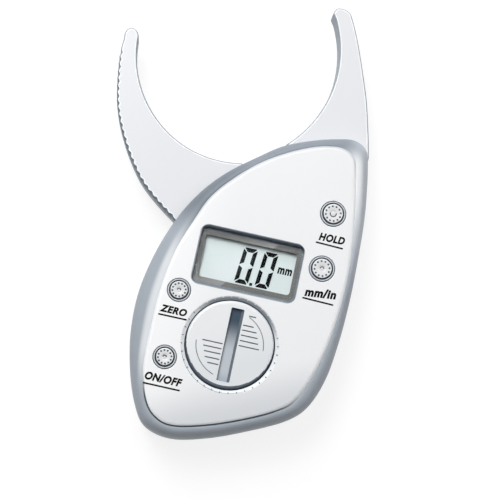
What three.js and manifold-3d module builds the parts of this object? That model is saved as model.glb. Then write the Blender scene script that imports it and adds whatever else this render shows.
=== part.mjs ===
// Digital skinfold caliper, lying on its back with its face up.
// Lengths are in millimetres and angles in degrees.
// +X runs along the display, +Y runs towards the jaws and +Z comes out of the face.
// The origin is the axis of the jaw pivot, at the flat back.

import * as THREE from "three";
import { mergeVertices } from "three/addons/utils/BufferGeometryUtils.js";
import Module from "manifold-3d";

const wasm = await Module();
wasm.setup();

// Clearances and overruns
const seatGap = 0.2;
const runGap = 0.3;
const cutOverrun = 1.0;
const joinDepth = 0.2;

// Facet counts
const outlineSteps = 2;
const wideSegments = 36;
const roundSegments = 16;
const smallSegments = 10;
const cornerSegments = 3;
const shoulderSteps = 4;
const backSteps = 2;

// Casing outline, seen from the face, as shares of its width and length from the pivot
const housingWidth = 74.0;
const housingLength = 117.6;
const rimOutlineShares = [
  [0.524, -0.122], [0.519, 0.009], [0.499, 0.119], [0.474, 0.202], [0.445, 0.236],
  [0.386, 0.25], [0.311, 0.242], [0.192, 0.219], [0.054, 0.179], [-0.065, 0.124],
  [-0.184, 0.062], [-0.284, -0.01], [-0.365, -0.098], [-0.432, -0.213], [-0.472, -0.344],
  [-0.468, -0.468], [-0.43, -0.582], [-0.376, -0.673], [-0.308, -0.731], [-0.177, -0.75],
  [-0.007, -0.726], [0.169, -0.682], [0.331, -0.631], [0.419, -0.577], [0.476, -0.485],
  [0.505, -0.366], [0.52, -0.242],
];
const plateOutlineShares = [
  [0.47, -0.122], [0.449, 0], [0.422, 0.102], [0.403, 0.162], [0.376, 0.187],
  [0.332, 0.199], [0.278, 0.198], [0.189, 0.183], [0.073, 0.148], [-0.041, 0.101],
  [-0.149, 0.037], [-0.238, -0.034], [-0.292, -0.116], [-0.345, -0.217], [-0.374, -0.34],
  [-0.378, -0.463], [-0.372, -0.565], [-0.338, -0.648], [-0.281, -0.697], [-0.189, -0.716],
  [-0.034, -0.695], [0.142, -0.653], [0.278, -0.609], [0.349, -0.568], [0.408, -0.481],
  [0.449, -0.37], [0.47, -0.247],
];

// Heights, from the back to the face
const floorThickness = 2.0;
const pivotBossHeight = 3.2;
const washerThickness = 0.6;
const jawBottom = floorThickness + pivotBossHeight + seatGap + washerThickness + seatGap;
const jawThickness = 7.8;
const jawTop = jawBottom + jawThickness;
const slotBottom = jawBottom - runGap;
const slotTop = jawTop + runGap;
const hubRecessDepth = 0.35;
const rotorBottom = jawTop - hubRecessDepth + seatGap;
const rotorThickness = 0.6;
const rotorTop = rotorBottom + rotorThickness;
const encoderGap = 0.4;
const boardBottom = rotorTop + encoderGap;
const boardThickness = 1.2;
const boardTop = boardBottom + boardThickness;
const switchBottom = boardTop + seatGap;
const switchHeight = 1.0;
const switchTop = switchBottom + switchHeight;
const plungerHeight = 0.95;
const plungerProud = 0.45;
const plungerTop = switchTop + plungerProud;
const plungerBottom = plungerTop - plungerHeight;
const capBottom = plungerTop + seatGap;
const capFlangeThickness = 0.55;
const deckBottom = capBottom + capFlangeThickness + runGap;
const deckThickness = 1.2;
const deckTop = deckBottom + deckThickness;
const plateBottom = deckTop + seatGap;
const plateThickness = 1.8;
const plateTop = plateBottom + plateThickness;
const rimDrop = 1.0;
const rimTop = plateTop - rimDrop;
const slotLip = 0.5;
const shoulderHeight = slotTop + slotLip;

// Casing walls
const frontWall = 1.5;
const lipThickness = 0.9;
const lipHeight = 1.5;
const rearWall = frontWall + seatGap + lipThickness;
const backRadius = 3.0;
const partingHeight = 8.0;
const skirtBottom = partingHeight + runGap;
const plateChamfer = 0.9;
const plateRoll = 0.8;

// Jaws, with the outline points as shares of the reach from the pivot to the tips
const jawReach = 74.07;
const movingInnerCentreShare = [-0.2315, 0.654];
const movingInnerRadiusShare = 0.5022;
const movingInnerEndAngle = 178.6;
const movingInnerStartAngle = 281.9;
const movingOuterShares = [
  [-0.817, 0.65], [-0.8155, 0.5265], [-0.7776, 0.32], [-0.7061, 0.154],
  [-0.6008, -0.004], [-0.4982, -0.1], [-0.3713, -0.188], [-0.325, -0.21],
];
const fixedInnerCentreShare = [-0.3474, 0.7146];
const fixedInnerRadiusShare = 0.5832;
const fixedInnerStartAngle = 28.3;
const fixedInnerEndAngle = -44.8;
const fixedOuterShares = [
  [0.4705, 0.327], [0.45, 0.427], [0.408, 0.595], [0.359, 0.745], [0.306, 0.884], [0.251, 0.998],
];
const fixedTipShares = [[0.227, 1.023], [0.2, 1.042], [0.163, 1.034], [0.154, 1.001]];
const jawArcSteps = 18;
const jawTipSteps = 6;
const jawEdgeSteps = 6;
const serrationStartShare = 0.1;
const serrationEndShare = 0.93;
const toothPitch = 1.5;
const toothHeight = 0.35;
const stopGap = 0.5;

// Jaw roots inside the casing: the slot ends at a share of the reach, the root's corners are
// shares of the casing's width and length
const slotEndShare = 0.2969;
const fixedRootRightShare = 0.438;
const fixedRootLeftShares = [[0.12, 0.158], [0.189, 0.106], [0.209, 0.034], [0.209, -0.034]];
const hubRadius = 10.6;
const hubStartAngle = -115;
const hubEndAngle = 102;
const slotHubEndAngle = -45;

// Pivot
const pinRadius = 2.5;
const pinGrooveDepth = 0.5;
const pinHeadRoom = 0.35;
const pivotBossRadius = 5.0;
const washerBore = pinRadius + runGap;
const bushWall = 1.0;
const bushSetback = 1.6;
const bushLength = jawThickness - bushSetback;
const ringThickness = 0.5;
const ringRadius = 4.4;
const ringMouthAngle = 60;
const rotorRadius = 9.5;
const rotorBore = 5.3;

// Return spring
const wireRadius = 0.4;
const springRoom = 0.6;
const springRadius = pivotBossRadius + springRoom + wireRadius;
const springTurns = 2.25;
const springLeg = 7.6;
const springContact = 6.0;
const springEndAngle = 212;
const springStepsPerTurn = 12;
const springSides = 5;
const springPegRadius = 1.0;
const springPegDrop = 1.7;
const springPostRadius = 1.2;
const springPostHeight = 2.2;

// Case screws, as shares of the casing's width and length
const outerScrewShares = [[-0.311, -0.646], [0.324, -0.561], [0.439, -0.289], [-0.392, -0.408]];
const jawScrewShares = [[0.378, 0.119], [0.257, 0.051]];
const caseShankRadius = 1.3;
const caseHeadRadius = 2.45;
const caseHeadHeight = 1.5;
const caseHeadInset = 3.2;
const caseScrewLength = 12.0;
const counterboreRadius = caseHeadRadius + runGap;
const caseHoleRadius = caseShankRadius + runGap;
const rearBossWall = 1.15;
const rearBossRadius = counterboreRadius + rearBossWall;
const rearBossTop = 9.7;
const frontBossRadius = 3.1;
const recessWidth = 0.7;
const recessDepth = 0.8;

// Board, its screws and what it carries, placed as shares of the casing's width and length
const boardInset = 2.0;
const lowerBoardScrewShares = [[0.311, -0.366], [-0.162, -0.621]];
const upperBoardScrewShare = 0.189;
const upperBoardScrewMargin = 2.59;
const boardShankRadius = 0.8;
const boardHoleRoom = 0.35;
const boardHeadRadius = 1.9;
const boardHeadHeight = 1.3;
const boardScrewLength = 3.2;
const boardHoleRadius = boardShankRadius + boardHoleRoom;
const boardBossRadius = 2.2;
const boardBossBore = boardShankRadius + runGap;
const chipPlaceShare = [0.041, 0.009];
const chipSize = 9.0;
const chipHeight = 1.2;
const crystalPlaceShare = [0.149, 0.017];
const crystalLength = 6.0;
const crystalWidth = 2.2;
const crystalHeight = 1.6;

// Display
const displayMargin = 2.69;
const lensLength = 35.5;
const lensWidth = 18.5;
const lensThickness = 0.9;
const lensCorner = 3.0;
const windowLength = 31.5;
const windowWidth = 14.2;
const windowCorner = 1.2;
const glassLength = 34.0;
const glassWidth = 17.0;
const glassThickness = 1.2;
const stripWidth = 1.6;
const stripInset = 0.3;

// Buttons, placed as shares of the casing's width and length
const buttons = [
  { name: "hold", placeShare: [0.345, -0.004], large: true },
  { name: "unit", placeShare: [0.345, -0.173], large: true },
  { name: "zero", placeShare: [-0.288, -0.326], large: false },
  { name: "power", placeShare: [-0.285, -0.526], large: false },
];
const largeCapRadius = 3.6;
const smallCapRadius = 3.15;
const capProud = 0.3;
const capEdge = 0.4;
const capDimpleRadius = 1.1;
const capDimpleDepth = 0.3;
const capFlangeWidth = 0.8;
const collarWidth = 0.75;
const collarHeight = 0.25;
const switchSize = 5.2;
const plungerRadius = 1.4;

// Battery compartment, placed as a share of the casing's width and length
const doorPlaceShare = [-0.003, -0.451];
const cellRadius = 10.0;
const cellHeight = 3.2;
const cellStep = 0.4;
const cellRim = 1.3;
const cellRoom = 0.4;
const plugRoom = 0.7;
const plugWall = 1.3;
const plugRadius = cellRadius + plugRoom + plugWall;
const plugDepth = 1.95;
const plugSkirt = 0.75;
const doorFlange = 3.35;
const doorRadius = plugRadius + doorFlange;
const doorThickness = 1.3;
const doorEdge = 0.4;
const doorRecessWidth = 1.1;
const coinSlotWidth = 4.0;
const coinSlotInset = 2.8;
const coinSlotLength = 2 * (doorRadius - coinSlotInset);
const coinSlotDepth = 1.1;
const lugReach = 1.2;
const lugHeight = 0.8;
const lugAngle = 16;
const doorTurn = 50;
const wellWall = 1.1;
const sealDepth = 0.55;
const sealHeight = 0.7;
const tubeWall = 1.2;
const ledgeThickness = 0.8;
const wellFloor = 1.0;
const contactThickness = 0.3;
const contactWidth = 4.4;
const contactOverlap = 2.2;
const bladeHeight = 1.95;

// Heights of the battery compartment, worked down from the deck
const doorBottom = deckTop + runGap;
const doorTop = doorBottom + doorThickness;
const plugBottom = doorBottom - plugDepth;
const plugSkirtBottom = plugBottom - plugSkirt;
const cellTop = plugBottom - runGap;
const cellBottom = cellTop - cellHeight;
const contactTop = cellBottom - runGap;
const contactBottom = contactTop - contactThickness;
const wellFloorTop = contactBottom - seatGap;
const ledgeTop = plugSkirtBottom - runGap;
const lugBottom = plugSkirtBottom + runGap;

// Flat maths

const radians = THREE.MathUtils.degToRad;

/** A point of the casing from its shares of width and length. */
function casingPoint([across, along]) {
  return new THREE.Vector2(across * housingWidth, along * housingLength);
}

/** A point of a jaw from its shares of the reach. */
function jawPoint([across, along]) {
  return new THREE.Vector2(across * jawReach, along * jawReach);
}

/** The point at an angle and a radius round a centre. */
function polar(centre, radius, angle) {
  const turn = radians(angle);
  return new THREE.Vector2(
    centre.x + radius * Math.cos(turn),
    centre.y + radius * Math.sin(turn),
  );
}

/** Points along an arc, both ends included. */
function arc(centre, radius, from, to, steps) {
  return Array.from({ length: steps + 1 }, (_, i) =>
    polar(centre, radius, from + ((to - from) * i) / steps),
  );
}

/** A smooth curve through flat points. */
function spline(points, closed) {
  const lifted = points.map((p) => new THREE.Vector3(p.x, p.y, 0));
  return new THREE.CatmullRomCurve3(lifted, closed, "catmullrom");
}

/** A closed outline through casing points, with a few steps between each two. */
function casingOutline(shares) {
  const curve = spline(shares.map(casingPoint), true);
  const flat = curve.getPoints(shares.length * outlineSteps);
  return flat.slice(0, -1).map((p) => new THREE.Vector2(p.x, p.y));
}

/** A counter-clockwise outline drawn in by a distance. */
function inset(outline, distance) {
  const count = outline.length;
  return outline.map((p, i) => {
    const along = outline[(i + 1) % count].clone().sub(outline[(i + count - 1) % count]);
    along.normalize();
    return new THREE.Vector2(p.x - along.y * distance, p.y + along.x * distance);
  });
}

/** The outline a share of the way from one outline to another. */
function between(from, to, share) {
  return from.map((p, i) => p.clone().lerp(to[i], share));
}

/** A rectangle with rounded corners round a centre. */
function roundedRectangle(centre, length, width, radius) {
  const right = length / 2 - radius;
  const top = width / 2 - radius;
  const corners = [[right, top], [-right, top], [-right, -top], [right, -top]];
  return corners.flatMap(([x, y], i) => {
    const corner = new THREE.Vector2(centre.x + x, centre.y + y);
    return arc(corner, radius, i * 90, (i + 1) * 90, cornerSegments);
  });
}

// Solids

/** A closed geometry as a solid. */
function solid(geometry) {
  geometry.deleteAttribute("normal");
  geometry.deleteAttribute("uv");
  const merged = mergeVertices(geometry);
  return new wasm.Manifold(
    new wasm.Mesh({
      numProp: 3,
      vertProperties: merged.attributes.position.array,
      triVerts: new Uint32Array(merged.index.array),
    }),
  );
}

/** A flat outline raised between two heights. */
function prism(outline, bottom, top) {
  const geometry = new THREE.ExtrudeGeometry(new THREE.Shape(outline), {
    depth: top - bottom,
    bevelEnabled: false,
  });
  return solid(geometry.translate(0, 0, bottom));
}

/** A round bar along Z. */
function bar(centre, radius, bottom, top, segments = smallSegments) {
  const geometry = new THREE.CylinderGeometry(radius, radius, top - bottom, segments);
  return solid(geometry.rotateX(Math.PI / 2).translate(centre.x, centre.y, (bottom + top) / 2));
}

/** A block along the axes, with its centre over a point. */
function block(centre, length, width, bottom, top) {
  const geometry = new THREE.BoxGeometry(length, width, top - bottom);
  return solid(geometry.translate(centre.x, centre.y, (bottom + top) / 2));
}

/** A turned solid about a vertical axis, from radius and height pairs in either order. */
function turned(centre, profile, segments = roundSegments) {
  const points = profile.map(([radius, height]) => new THREE.Vector2(radius, height));
  const closed = points[0].x > 0 ? [...points, points[0].clone()] : points;
  const ordered = THREE.ShapeUtils.area(points) < 0 ? closed.reverse() : closed;
  const geometry = new THREE.LatheGeometry(ordered, segments);
  return solid(geometry.rotateX(Math.PI / 2).translate(centre.x, centre.y, 0));
}

/** A closed skin over outlines stacked by height, each with as many points. */
function loft(rings) {
  const count = rings[0].outline.length;
  const positions = rings.flatMap(({ outline, height }) =>
    outline.flatMap((p) => [p.x, p.y, height]),
  );
  const faces = [];
  for (let ring = 0; ring + 1 < rings.length; ring++) {
    for (let i = 0; i < count; i++) {
      const low = ring * count + i;
      const lowNext = ring * count + ((i + 1) % count);
      faces.push(low, lowNext, lowNext + count, low, lowNext + count, low + count);
    }
  }
  const topStart = (rings.length - 1) * count;
  for (const [a, b, c] of THREE.ShapeUtils.triangulateShape(rings[0].outline, [])) {
    faces.push(a, c, b);
  }
  for (const [a, b, c] of THREE.ShapeUtils.triangulateShape(rings.at(-1).outline, [])) {
    faces.push(topStart + a, topStart + b, topStart + c);
  }
  const geometry = new THREE.BufferGeometry();
  geometry.setAttribute("position", new THREE.Float32BufferAttribute(positions, 3));
  geometry.setIndex(faces);
  return solid(geometry);
}

/** A sector of a ring raised between two heights. */
function ringSector(centre, inner, outer, middle, spread, bottom, top) {
  const steps = Math.ceil((spread / 360) * wideSegments);
  const outside = arc(centre, outer, middle - spread / 2, middle + spread / 2, steps);
  const inside = arc(centre, inner, middle + spread / 2, middle - spread / 2, steps);
  return prism([...outside, ...inside], bottom, top);
}

/** All of some solids joined. */
function joined(solids) {
  return solids.reduce((sum, next) => sum.add(next));
}

/** A solid with each of some others cut from it. */
function cut(body, tools) {
  return tools.reduce((rest, tool) => rest.subtract(tool), body);
}

// Places

const pivot = new THREE.Vector2(0, 0);
const rimOutline = casingOutline(rimOutlineShares);
const plateOutline = casingOutline(plateOutlineShares);
const doorPlace = casingPoint(doorPlaceShare);
const doorRecessRadius = doorRadius + runGap + doorRecessWidth;
const displayPlace = new THREE.Vector2(
  0,
  doorPlace.y + doorRecessRadius + displayMargin + lensWidth / 2,
);
const outerScrewPlaces = outerScrewShares.map(casingPoint);
const jawScrewPlaces = jawScrewShares.map(casingPoint);
const boardScrewPlaces = [
  new THREE.Vector2(
    upperBoardScrewShare * housingWidth,
    displayPlace.y + glassWidth / 2 + boardBossRadius + upperBoardScrewMargin,
  ),
  ...lowerBoardScrewShares.map(casingPoint),
];
const slotEnd = slotEndShare * jawReach;

/** The radius of a button's cap. */
function capRadiusOf(button) {
  return button.large ? largeCapRadius : smallCapRadius;
}

// Jaws

/** The smooth outer edge of the moving jaw, from the tip to its root. */
function movingOuterEdge() {
  return spline(movingOuterShares.map(jawPoint), false);
}

/** A point beside an edge curve, at a share of its length and a distance outwards. */
function besideEdge(curve, share, distance) {
  const place = curve.getPointAt(share);
  const along = curve.getTangentAt(share);
  return new THREE.Vector2(place.x + along.y * distance, place.y - along.x * distance);
}

/** The outer edge of the moving jaw, with the thumb serration along most of it. */
function serratedEdge() {
  const curve = movingOuterEdge();
  const length = curve.getLength() * (serrationEndShare - serrationStartShare);
  const teeth = Math.round(length / toothPitch);
  const perTooth = 3;
  const points = [besideEdge(curve, 0, 0), besideEdge(curve, serrationStartShare / 2, 0)];
  for (let i = 0; i <= teeth * perTooth; i++) {
    const share = i / (teeth * perTooth);
    const rise = toothHeight * Math.abs(Math.sin((Math.PI * i) / perTooth));
    const along = serrationStartShare + (serrationEndShare - serrationStartShare) * share;
    points.push(besideEdge(curve, along, rise));
  }
  points.push(besideEdge(curve, 1, 0));
  return points;
}

/** The moving jaw's outline, counter-clockwise from the hub. */
function movingJawOutline() {
  const hub = arc(pivot, hubRadius, hubStartAngle, hubEndAngle, jawArcSteps);
  const inner = arc(
    jawPoint(movingInnerCentreShare),
    movingInnerRadiusShare * jawReach,
    movingInnerStartAngle,
    movingInnerEndAngle,
    jawArcSteps,
  );
  const outer = serratedEdge();
  const innerTip = inner.at(-1);
  const middle = innerTip.clone().lerp(outer[0], 0.5);
  const lean = THREE.MathUtils.radToDeg(Math.atan2(innerTip.y - middle.y, innerTip.x - middle.x));
  const tip = arc(middle, innerTip.distanceTo(middle), lean, lean + 180, jawTipSteps);
  return [...hub, ...inner, ...tip.slice(1, -1), ...outer];
}

/** The fixed jaw's outline, counter-clockwise from the lower right corner of its root. */
function fixedJawOutline() {
  const right = fixedRootRightShare * housingWidth;
  const shoulder = slotEnd + runGap;
  const left = fixedRootLeftShares.map(casingPoint);
  const outer = spline(fixedOuterShares.map(jawPoint), false);
  const outerPoints = outer.getPoints(jawEdgeSteps * 2).map((p) => new THREE.Vector2(p.x, p.y));
  const start = outer.getPoint(0);
  const inner = arc(
    jawPoint(fixedInnerCentreShare),
    fixedInnerRadiusShare * jawReach,
    fixedInnerStartAngle,
    fixedInnerEndAngle,
    jawArcSteps,
  );
  return [
    new THREE.Vector2(right, left.at(-1).y),
    new THREE.Vector2(right, shoulder),
    new THREE.Vector2(start.x, shoulder),
    ...outerPoints,
    ...fixedTipShares.map(jawPoint),
    ...inner,
    ...left,
  ];
}

// Return spring, wound clockwise from the floor up

/** The spring's direction of travel at an angle of its coil. */
function coilDirection(angle) {
  return new THREE.Vector2(Math.sin(radians(angle)), -Math.cos(radians(angle)));
}

/** A point beside a spring leg: signed reach along it and distance to its outer side. */
function besideLeg(angle, reach, distance) {
  const along = coilDirection(angle);
  const foot = polar(pivot, springRadius, angle).addScaledVector(along, reach);
  const side = new THREE.Vector2(-along.y, along.x);
  return foot.addScaledVector(side, distance);
}

const springStartAngle = springEndAngle + springTurns * 360;
const springFoot = floorThickness + seatGap + wireRadius;
const springHead = jawBottom - runGap - wireRadius;
const springPegPlace = besideLeg(
  springEndAngle,
  springContact,
  springPegRadius + wireRadius + runGap,
);
const springPostPlace = besideLeg(
  springStartAngle,
  -springContact,
  springPostRadius + wireRadius + runGap,
);

/** The torsion spring: a leg, the coil and the other leg as one wire. */
function torsionSpring() {
  const steps = Math.round(springTurns * springStepsPerTurn);
  const first = besideLeg(springStartAngle, -springLeg, 0);
  const last = besideLeg(springEndAngle, springLeg, 0);
  const points = [new THREE.Vector3(first.x, first.y, springFoot)];
  for (let i = 0; i <= steps; i++) {
    const share = i / steps;
    const place = polar(pivot, springRadius, springStartAngle - share * springTurns * 360);
    const height = springFoot + (springHead - springFoot) * share;
    points.push(new THREE.Vector3(place.x, place.y, height));
  }
  points.push(new THREE.Vector3(last.x, last.y, springHead));
  const path = new THREE.CatmullRomCurve3(points, false, "centripetal");
  const section = arc(pivot, wireRadius, 0, 360, springSides).slice(0, -1);
  return solid(
    new THREE.ExtrudeGeometry(new THREE.Shape(section), {
      steps: steps + springStepsPerTurn,
      bevelEnabled: false,
      extrudePath: path,
    }),
  );
}

/** The moving jaw with its hub, bores and the peg that the spring pushes. */
function movingJaw() {
  const bore = pinRadius + runGap + bushWall + seatGap;
  const bushTop = jawBottom + bushLength;
  const rotorSeat = jawTop - hubRecessDepth;
  const peg = bar(springPegPlace, springPegRadius, jawBottom - springPegDrop, jawTop - joinDepth);
  return cut(prism(movingJawOutline(), jawBottom, jawTop).add(peg), [
    bar(pivot, bore, jawBottom - cutOverrun, jawTop + cutOverrun, roundSegments),
    bar(pivot, ringRadius + runGap, bushTop, jawTop + cutOverrun, roundSegments),
    bar(pivot, rotorRadius + runGap, rotorSeat, jawTop + cutOverrun, wideSegments),
  ]);
}

/** The fixed jaw with its two screw holes. */
function fixedJaw() {
  const holes = jawScrewPlaces.map((place) =>
    bar(place, caseHoleRadius, jawBottom - cutOverrun, jawTop + cutOverrun),
  );
  return cut(prism(fixedJawOutline(), jawBottom, jawTop), holes);
}

// Casing

/** The space that the jaws need through the casing wall, between two heights. */
function jawSlot(bottom, top) {
  const curve = movingOuterEdge();
  const outwards = toothHeight + stopGap;
  const stops = [0.75, 0.8, 0.85, 0.9, 0.95, 1].map((share) => besideEdge(curve, share, outwards));
  const hub = arc(pivot, hubRadius + runGap, hubStartAngle, slotHubEndAngle, jawTipSteps);
  const rootRight = fixedRootRightShare * housingWidth + runGap;
  const rootBottom = casingPoint(fixedRootLeftShares.at(-1)).y - runGap;
  return prism(
    [
      ...stops,
      ...hub,
      new THREE.Vector2(rootRight, rootBottom),
      new THREE.Vector2(rootRight, slotEnd),
      new THREE.Vector2(housingWidth, slotEnd),
      new THREE.Vector2(housingWidth, housingLength),
      new THREE.Vector2(-housingWidth, housingLength),
      new THREE.Vector2(-housingWidth, stops[0].y),
    ],
    bottom,
    top,
  );
}

/** The rear cover: a tray with screw bosses, the pivot boss and the spring's post. */
function rearCover() {
  const rings = [];
  for (let step = 0; step <= backSteps; step++) {
    const turn = (Math.PI / 2) * (step / backSteps);
    rings.push({
      outline: inset(rimOutline, backRadius * (1 - Math.sin(turn))),
      height: backRadius * (1 - Math.cos(turn)),
    });
  }
  rings.push({ outline: rimOutline, height: partingHeight });
  const lip = prism(inset(rimOutline, frontWall + seatGap), floorThickness, partingHeight + lipHeight);
  const room = prism(
    inset(rimOutline, rearWall),
    floorThickness,
    partingHeight + lipHeight + cutOverrun,
  );
  const tray = loft(rings).add(lip).subtract(room);
  const slotted = tray.subtract(jawSlot(slotBottom, partingHeight + lipHeight + cutOverrun));
  const bossBottom = floorThickness - joinDepth;
  const bosses = [
    ...outerScrewPlaces.map((place) => bar(place, rearBossRadius, bossBottom, rearBossTop)),
    ...jawScrewPlaces.map((place) => bar(place, rearBossRadius, bossBottom, slotBottom)),
    bar(pivot, pivotBossRadius, bossBottom, floorThickness + pivotBossHeight, roundSegments),
    bar(springPostPlace, springPostRadius, bossBottom, floorThickness + springPostHeight),
  ];
  const within = prism(inset(rimOutline, frontWall + seatGap), 0, rearBossTop + cutOverrun);
  const headSeat = caseHeadInset + caseHeadHeight + runGap;
  const bores = [...outerScrewPlaces, ...jawScrewPlaces].flatMap((place) => [
    bar(place, counterboreRadius, -cutOverrun, headSeat, roundSegments),
    bar(place, caseHoleRadius, -cutOverrun, rearBossTop + cutOverrun),
  ]);
  const pinBore = bar(
    pivot,
    pinRadius + seatGap,
    floorThickness,
    floorThickness + pivotBossHeight + cutOverrun,
    roundSegments,
  );
  const inner = joined(bosses).intersect(within);
  return cut(slotted.add(inner), [...bores, pinBore]);
}

/** The stack of outlines from a shoulder on the rim outline up to the plate outline. */
function domeRings(outer, inner, bottom, shoulder, top, steps) {
  const rings = [{ outline: outer, height: bottom }];
  for (let step = 0; step <= steps; step++) {
    const turn = (Math.PI / 2) * (step / steps);
    rings.push({
      outline: between(outer, inner, 1 - Math.cos(turn)),
      height: shoulder + (top - shoulder) * Math.sin(turn),
    });
  }
  return rings;
}

/** The battery well under the deck: a wide throat for the door and a tube for the cell. */
function batteryWell() {
  const throat = plugRadius + runGap;
  const outside = plugRadius + lugReach + runGap + wellWall;
  const tube = cellRadius + cellRoom;
  const ledgeBottom = ledgeTop - ledgeThickness;
  const body = joined([
    bar(doorPlace, outside, ledgeBottom, deckBottom + joinDepth, wideSegments),
    bar(doorPlace, tube + tubeWall, wellFloorTop - wellFloor, ledgeTop, wideSegments),
  ]);
  const tools = [
    bar(doorPlace, throat, ledgeTop, deckTop + cutOverrun, wideSegments),
    bar(doorPlace, tube, wellFloorTop, deckTop, wideSegments),
    turned(
      doorPlace,
      [
        [cellRadius, lugBottom - runGap],
        [plugRadius + lugReach + runGap, lugBottom - runGap],
        [plugRadius + lugReach + runGap, lugBottom + lugHeight + runGap],
        [cellRadius, lugBottom + lugHeight + runGap],
      ],
      wideSegments,
    ),
  ];
  for (const side of [0, 180]) {
    tools.push(
      ringSector(
        doorPlace,
        cellRadius,
        plugRadius + lugReach + runGap,
        side + doorTurn,
        lugAngle + lugAngle / 4,
        lugBottom,
        deckTop + cutOverrun,
      ),
    );
  }
  const notchWidth = contactWidth + 2 * runGap;
  const reach = tube + tubeWall + cutOverrun;
  tools.push(
    block(
      new THREE.Vector2(doorPlace.x - reach / 2, doorPlace.y),
      reach,
      notchWidth,
      wellFloorTop,
      contactTop + runGap,
    ),
    block(
      new THREE.Vector2(doorPlace.x + reach / 2, doorPlace.y),
      reach,
      notchWidth,
      wellFloorTop,
      contactBottom + bladeHeight + runGap,
    ),
  );
  return { body, tools };
}

/** The front housing: rim, deck under the face plate, battery well and bosses. */
function frontHousing() {
  const outside = loft(
    domeRings(rimOutline, plateOutline, skirtBottom, shoulderHeight, rimTop, shoulderSteps),
  );
  const room = loft(
    domeRings(
      inset(rimOutline, frontWall),
      inset(plateOutline, frontWall),
      skirtBottom - cutOverrun,
      shoulderHeight,
      deckBottom,
      backSteps,
    ),
  );
  const pocket = prism(plateOutline, deckTop, rimTop + cutOverrun);
  const shell = cut(outside, [room, pocket, jawSlot(skirtBottom - cutOverrun, slotTop)]);
  const well = batteryWell();
  const bossTop = deckBottom + joinDepth;
  const bosses = [
    ...outerScrewPlaces.map((place) =>
      bar(place, frontBossRadius, rearBossTop + runGap, bossTop),
    ),
    ...jawScrewPlaces.map((place) => bar(place, frontBossRadius, slotTop, bossTop)),
    ...boardScrewPlaces.map((place) => bar(place, boardBossRadius, boardTop + seatGap, bossTop)),
  ];
  const caseTip = caseHeadInset + caseHeadHeight + caseScrewLength;
  const boardTip = boardBottom - runGap + boardScrewLength;
  const holes = [
    ...[...outerScrewPlaces, ...jawScrewPlaces].map((place) =>
      bar(place, caseHoleRadius, rearBossTop, caseTip + runGap),
    ),
    ...boardScrewPlaces.map((place) => bar(place, boardBossBore, boardTop, boardTip + runGap)),
    ...buttons.map((button) =>
      bar(
        casingPoint(button.placeShare),
        capRadiusOf(button) + runGap,
        deckBottom - cutOverrun,
        deckTop + cutOverrun,
        roundSegments,
      ),
    ),
    prism(
      roundedRectangle(displayPlace, windowLength, windowWidth, windowCorner),
      deckBottom - cutOverrun,
      deckTop + cutOverrun,
    ),
  ];
  return cut(joined([shell, well.body, ...bosses]), [...well.tools, ...holes]);
}

/** The silver face plate with its display, button and battery door openings. */
function facePlate() {
  const edge = inset(plateOutline, seatGap);
  const sheet = loft([
    { outline: edge, height: plateBottom },
    { outline: edge, height: plateTop - plateChamfer },
    { outline: inset(edge, plateRoll), height: plateTop },
  ]);
  const collars = buttons.map((button) =>
    bar(
      casingPoint(button.placeShare),
      capRadiusOf(button) + runGap + collarWidth,
      plateTop - joinDepth,
      plateTop + collarHeight,
      roundSegments,
    ),
  );
  const doorHole = doorRadius + runGap;
  const openings = [
    prism(
      roundedRectangle(
        displayPlace,
        lensLength + 2 * seatGap,
        lensWidth + 2 * seatGap,
        lensCorner + seatGap,
      ),
      plateBottom - cutOverrun,
      plateTop + cutOverrun,
    ),
    turned(
      doorPlace,
      [
        [0, plateBottom - cutOverrun],
        [doorHole, plateBottom - cutOverrun],
        [doorHole, plateTop - doorRecessWidth],
        [doorRecessRadius, plateTop],
        [doorRecessRadius, plateTop + cutOverrun],
        [0, plateTop + cutOverrun],
      ],
      wideSegments,
    ),
    ...buttons.map((button) =>
      bar(
        casingPoint(button.placeShare),
        capRadiusOf(button) + runGap,
        plateBottom - cutOverrun,
        plateTop + collarHeight + cutOverrun,
        roundSegments,
      ),
    ),
  ];
  return cut(joined([sheet, ...collars]), openings);
}

// Battery door and cell

/** The battery door: disc, coin slot, plug with its skirt and two bayonet lugs. */
function batteryDoor() {
  const sealFloor = plugRadius - sealDepth - seatGap;
  const sealTop = doorBottom - seatGap;
  const sealBottom = sealTop - sealHeight - 2 * seatGap;
  const body = turned(
    doorPlace,
    [
      [0, plugBottom],
      [plugRadius - plugWall, plugBottom],
      [plugRadius - plugWall, plugSkirtBottom],
      [plugRadius, plugSkirtBottom],
      [plugRadius, sealBottom],
      [sealFloor, sealBottom],
      [sealFloor, sealTop],
      [plugRadius, sealTop],
      [plugRadius, doorBottom],
      [doorRadius, doorBottom],
      [doorRadius, doorTop - doorEdge],
      [doorRadius - doorEdge, doorTop],
      [0, doorTop],
    ],
    wideSegments,
  );
  const lugs = [0, 180].map((side) =>
    ringSector(
      doorPlace,
      plugRadius - plugWall / 2,
      plugRadius + lugReach,
      side,
      lugAngle,
      lugBottom,
      lugBottom + lugHeight,
    ),
  );
  const slot = prism(
    roundedRectangle(doorPlace, coinSlotWidth, coinSlotLength, coinSlotWidth / 8),
    doorTop - coinSlotDepth,
    doorTop + cutOverrun,
  );
  return joined([body, ...lugs]).subtract(slot);
}

/** The rubber ring in the door's groove. */
function doorSeal() {
  const bottom = doorBottom - 2 * seatGap - sealHeight;
  return turned(
    doorPlace,
    [
      [plugRadius - sealDepth, bottom],
      [plugRadius, bottom],
      [plugRadius, bottom + sealHeight],
      [plugRadius - sealDepth, bottom + sealHeight],
    ],
    wideSegments,
  );
}

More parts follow.
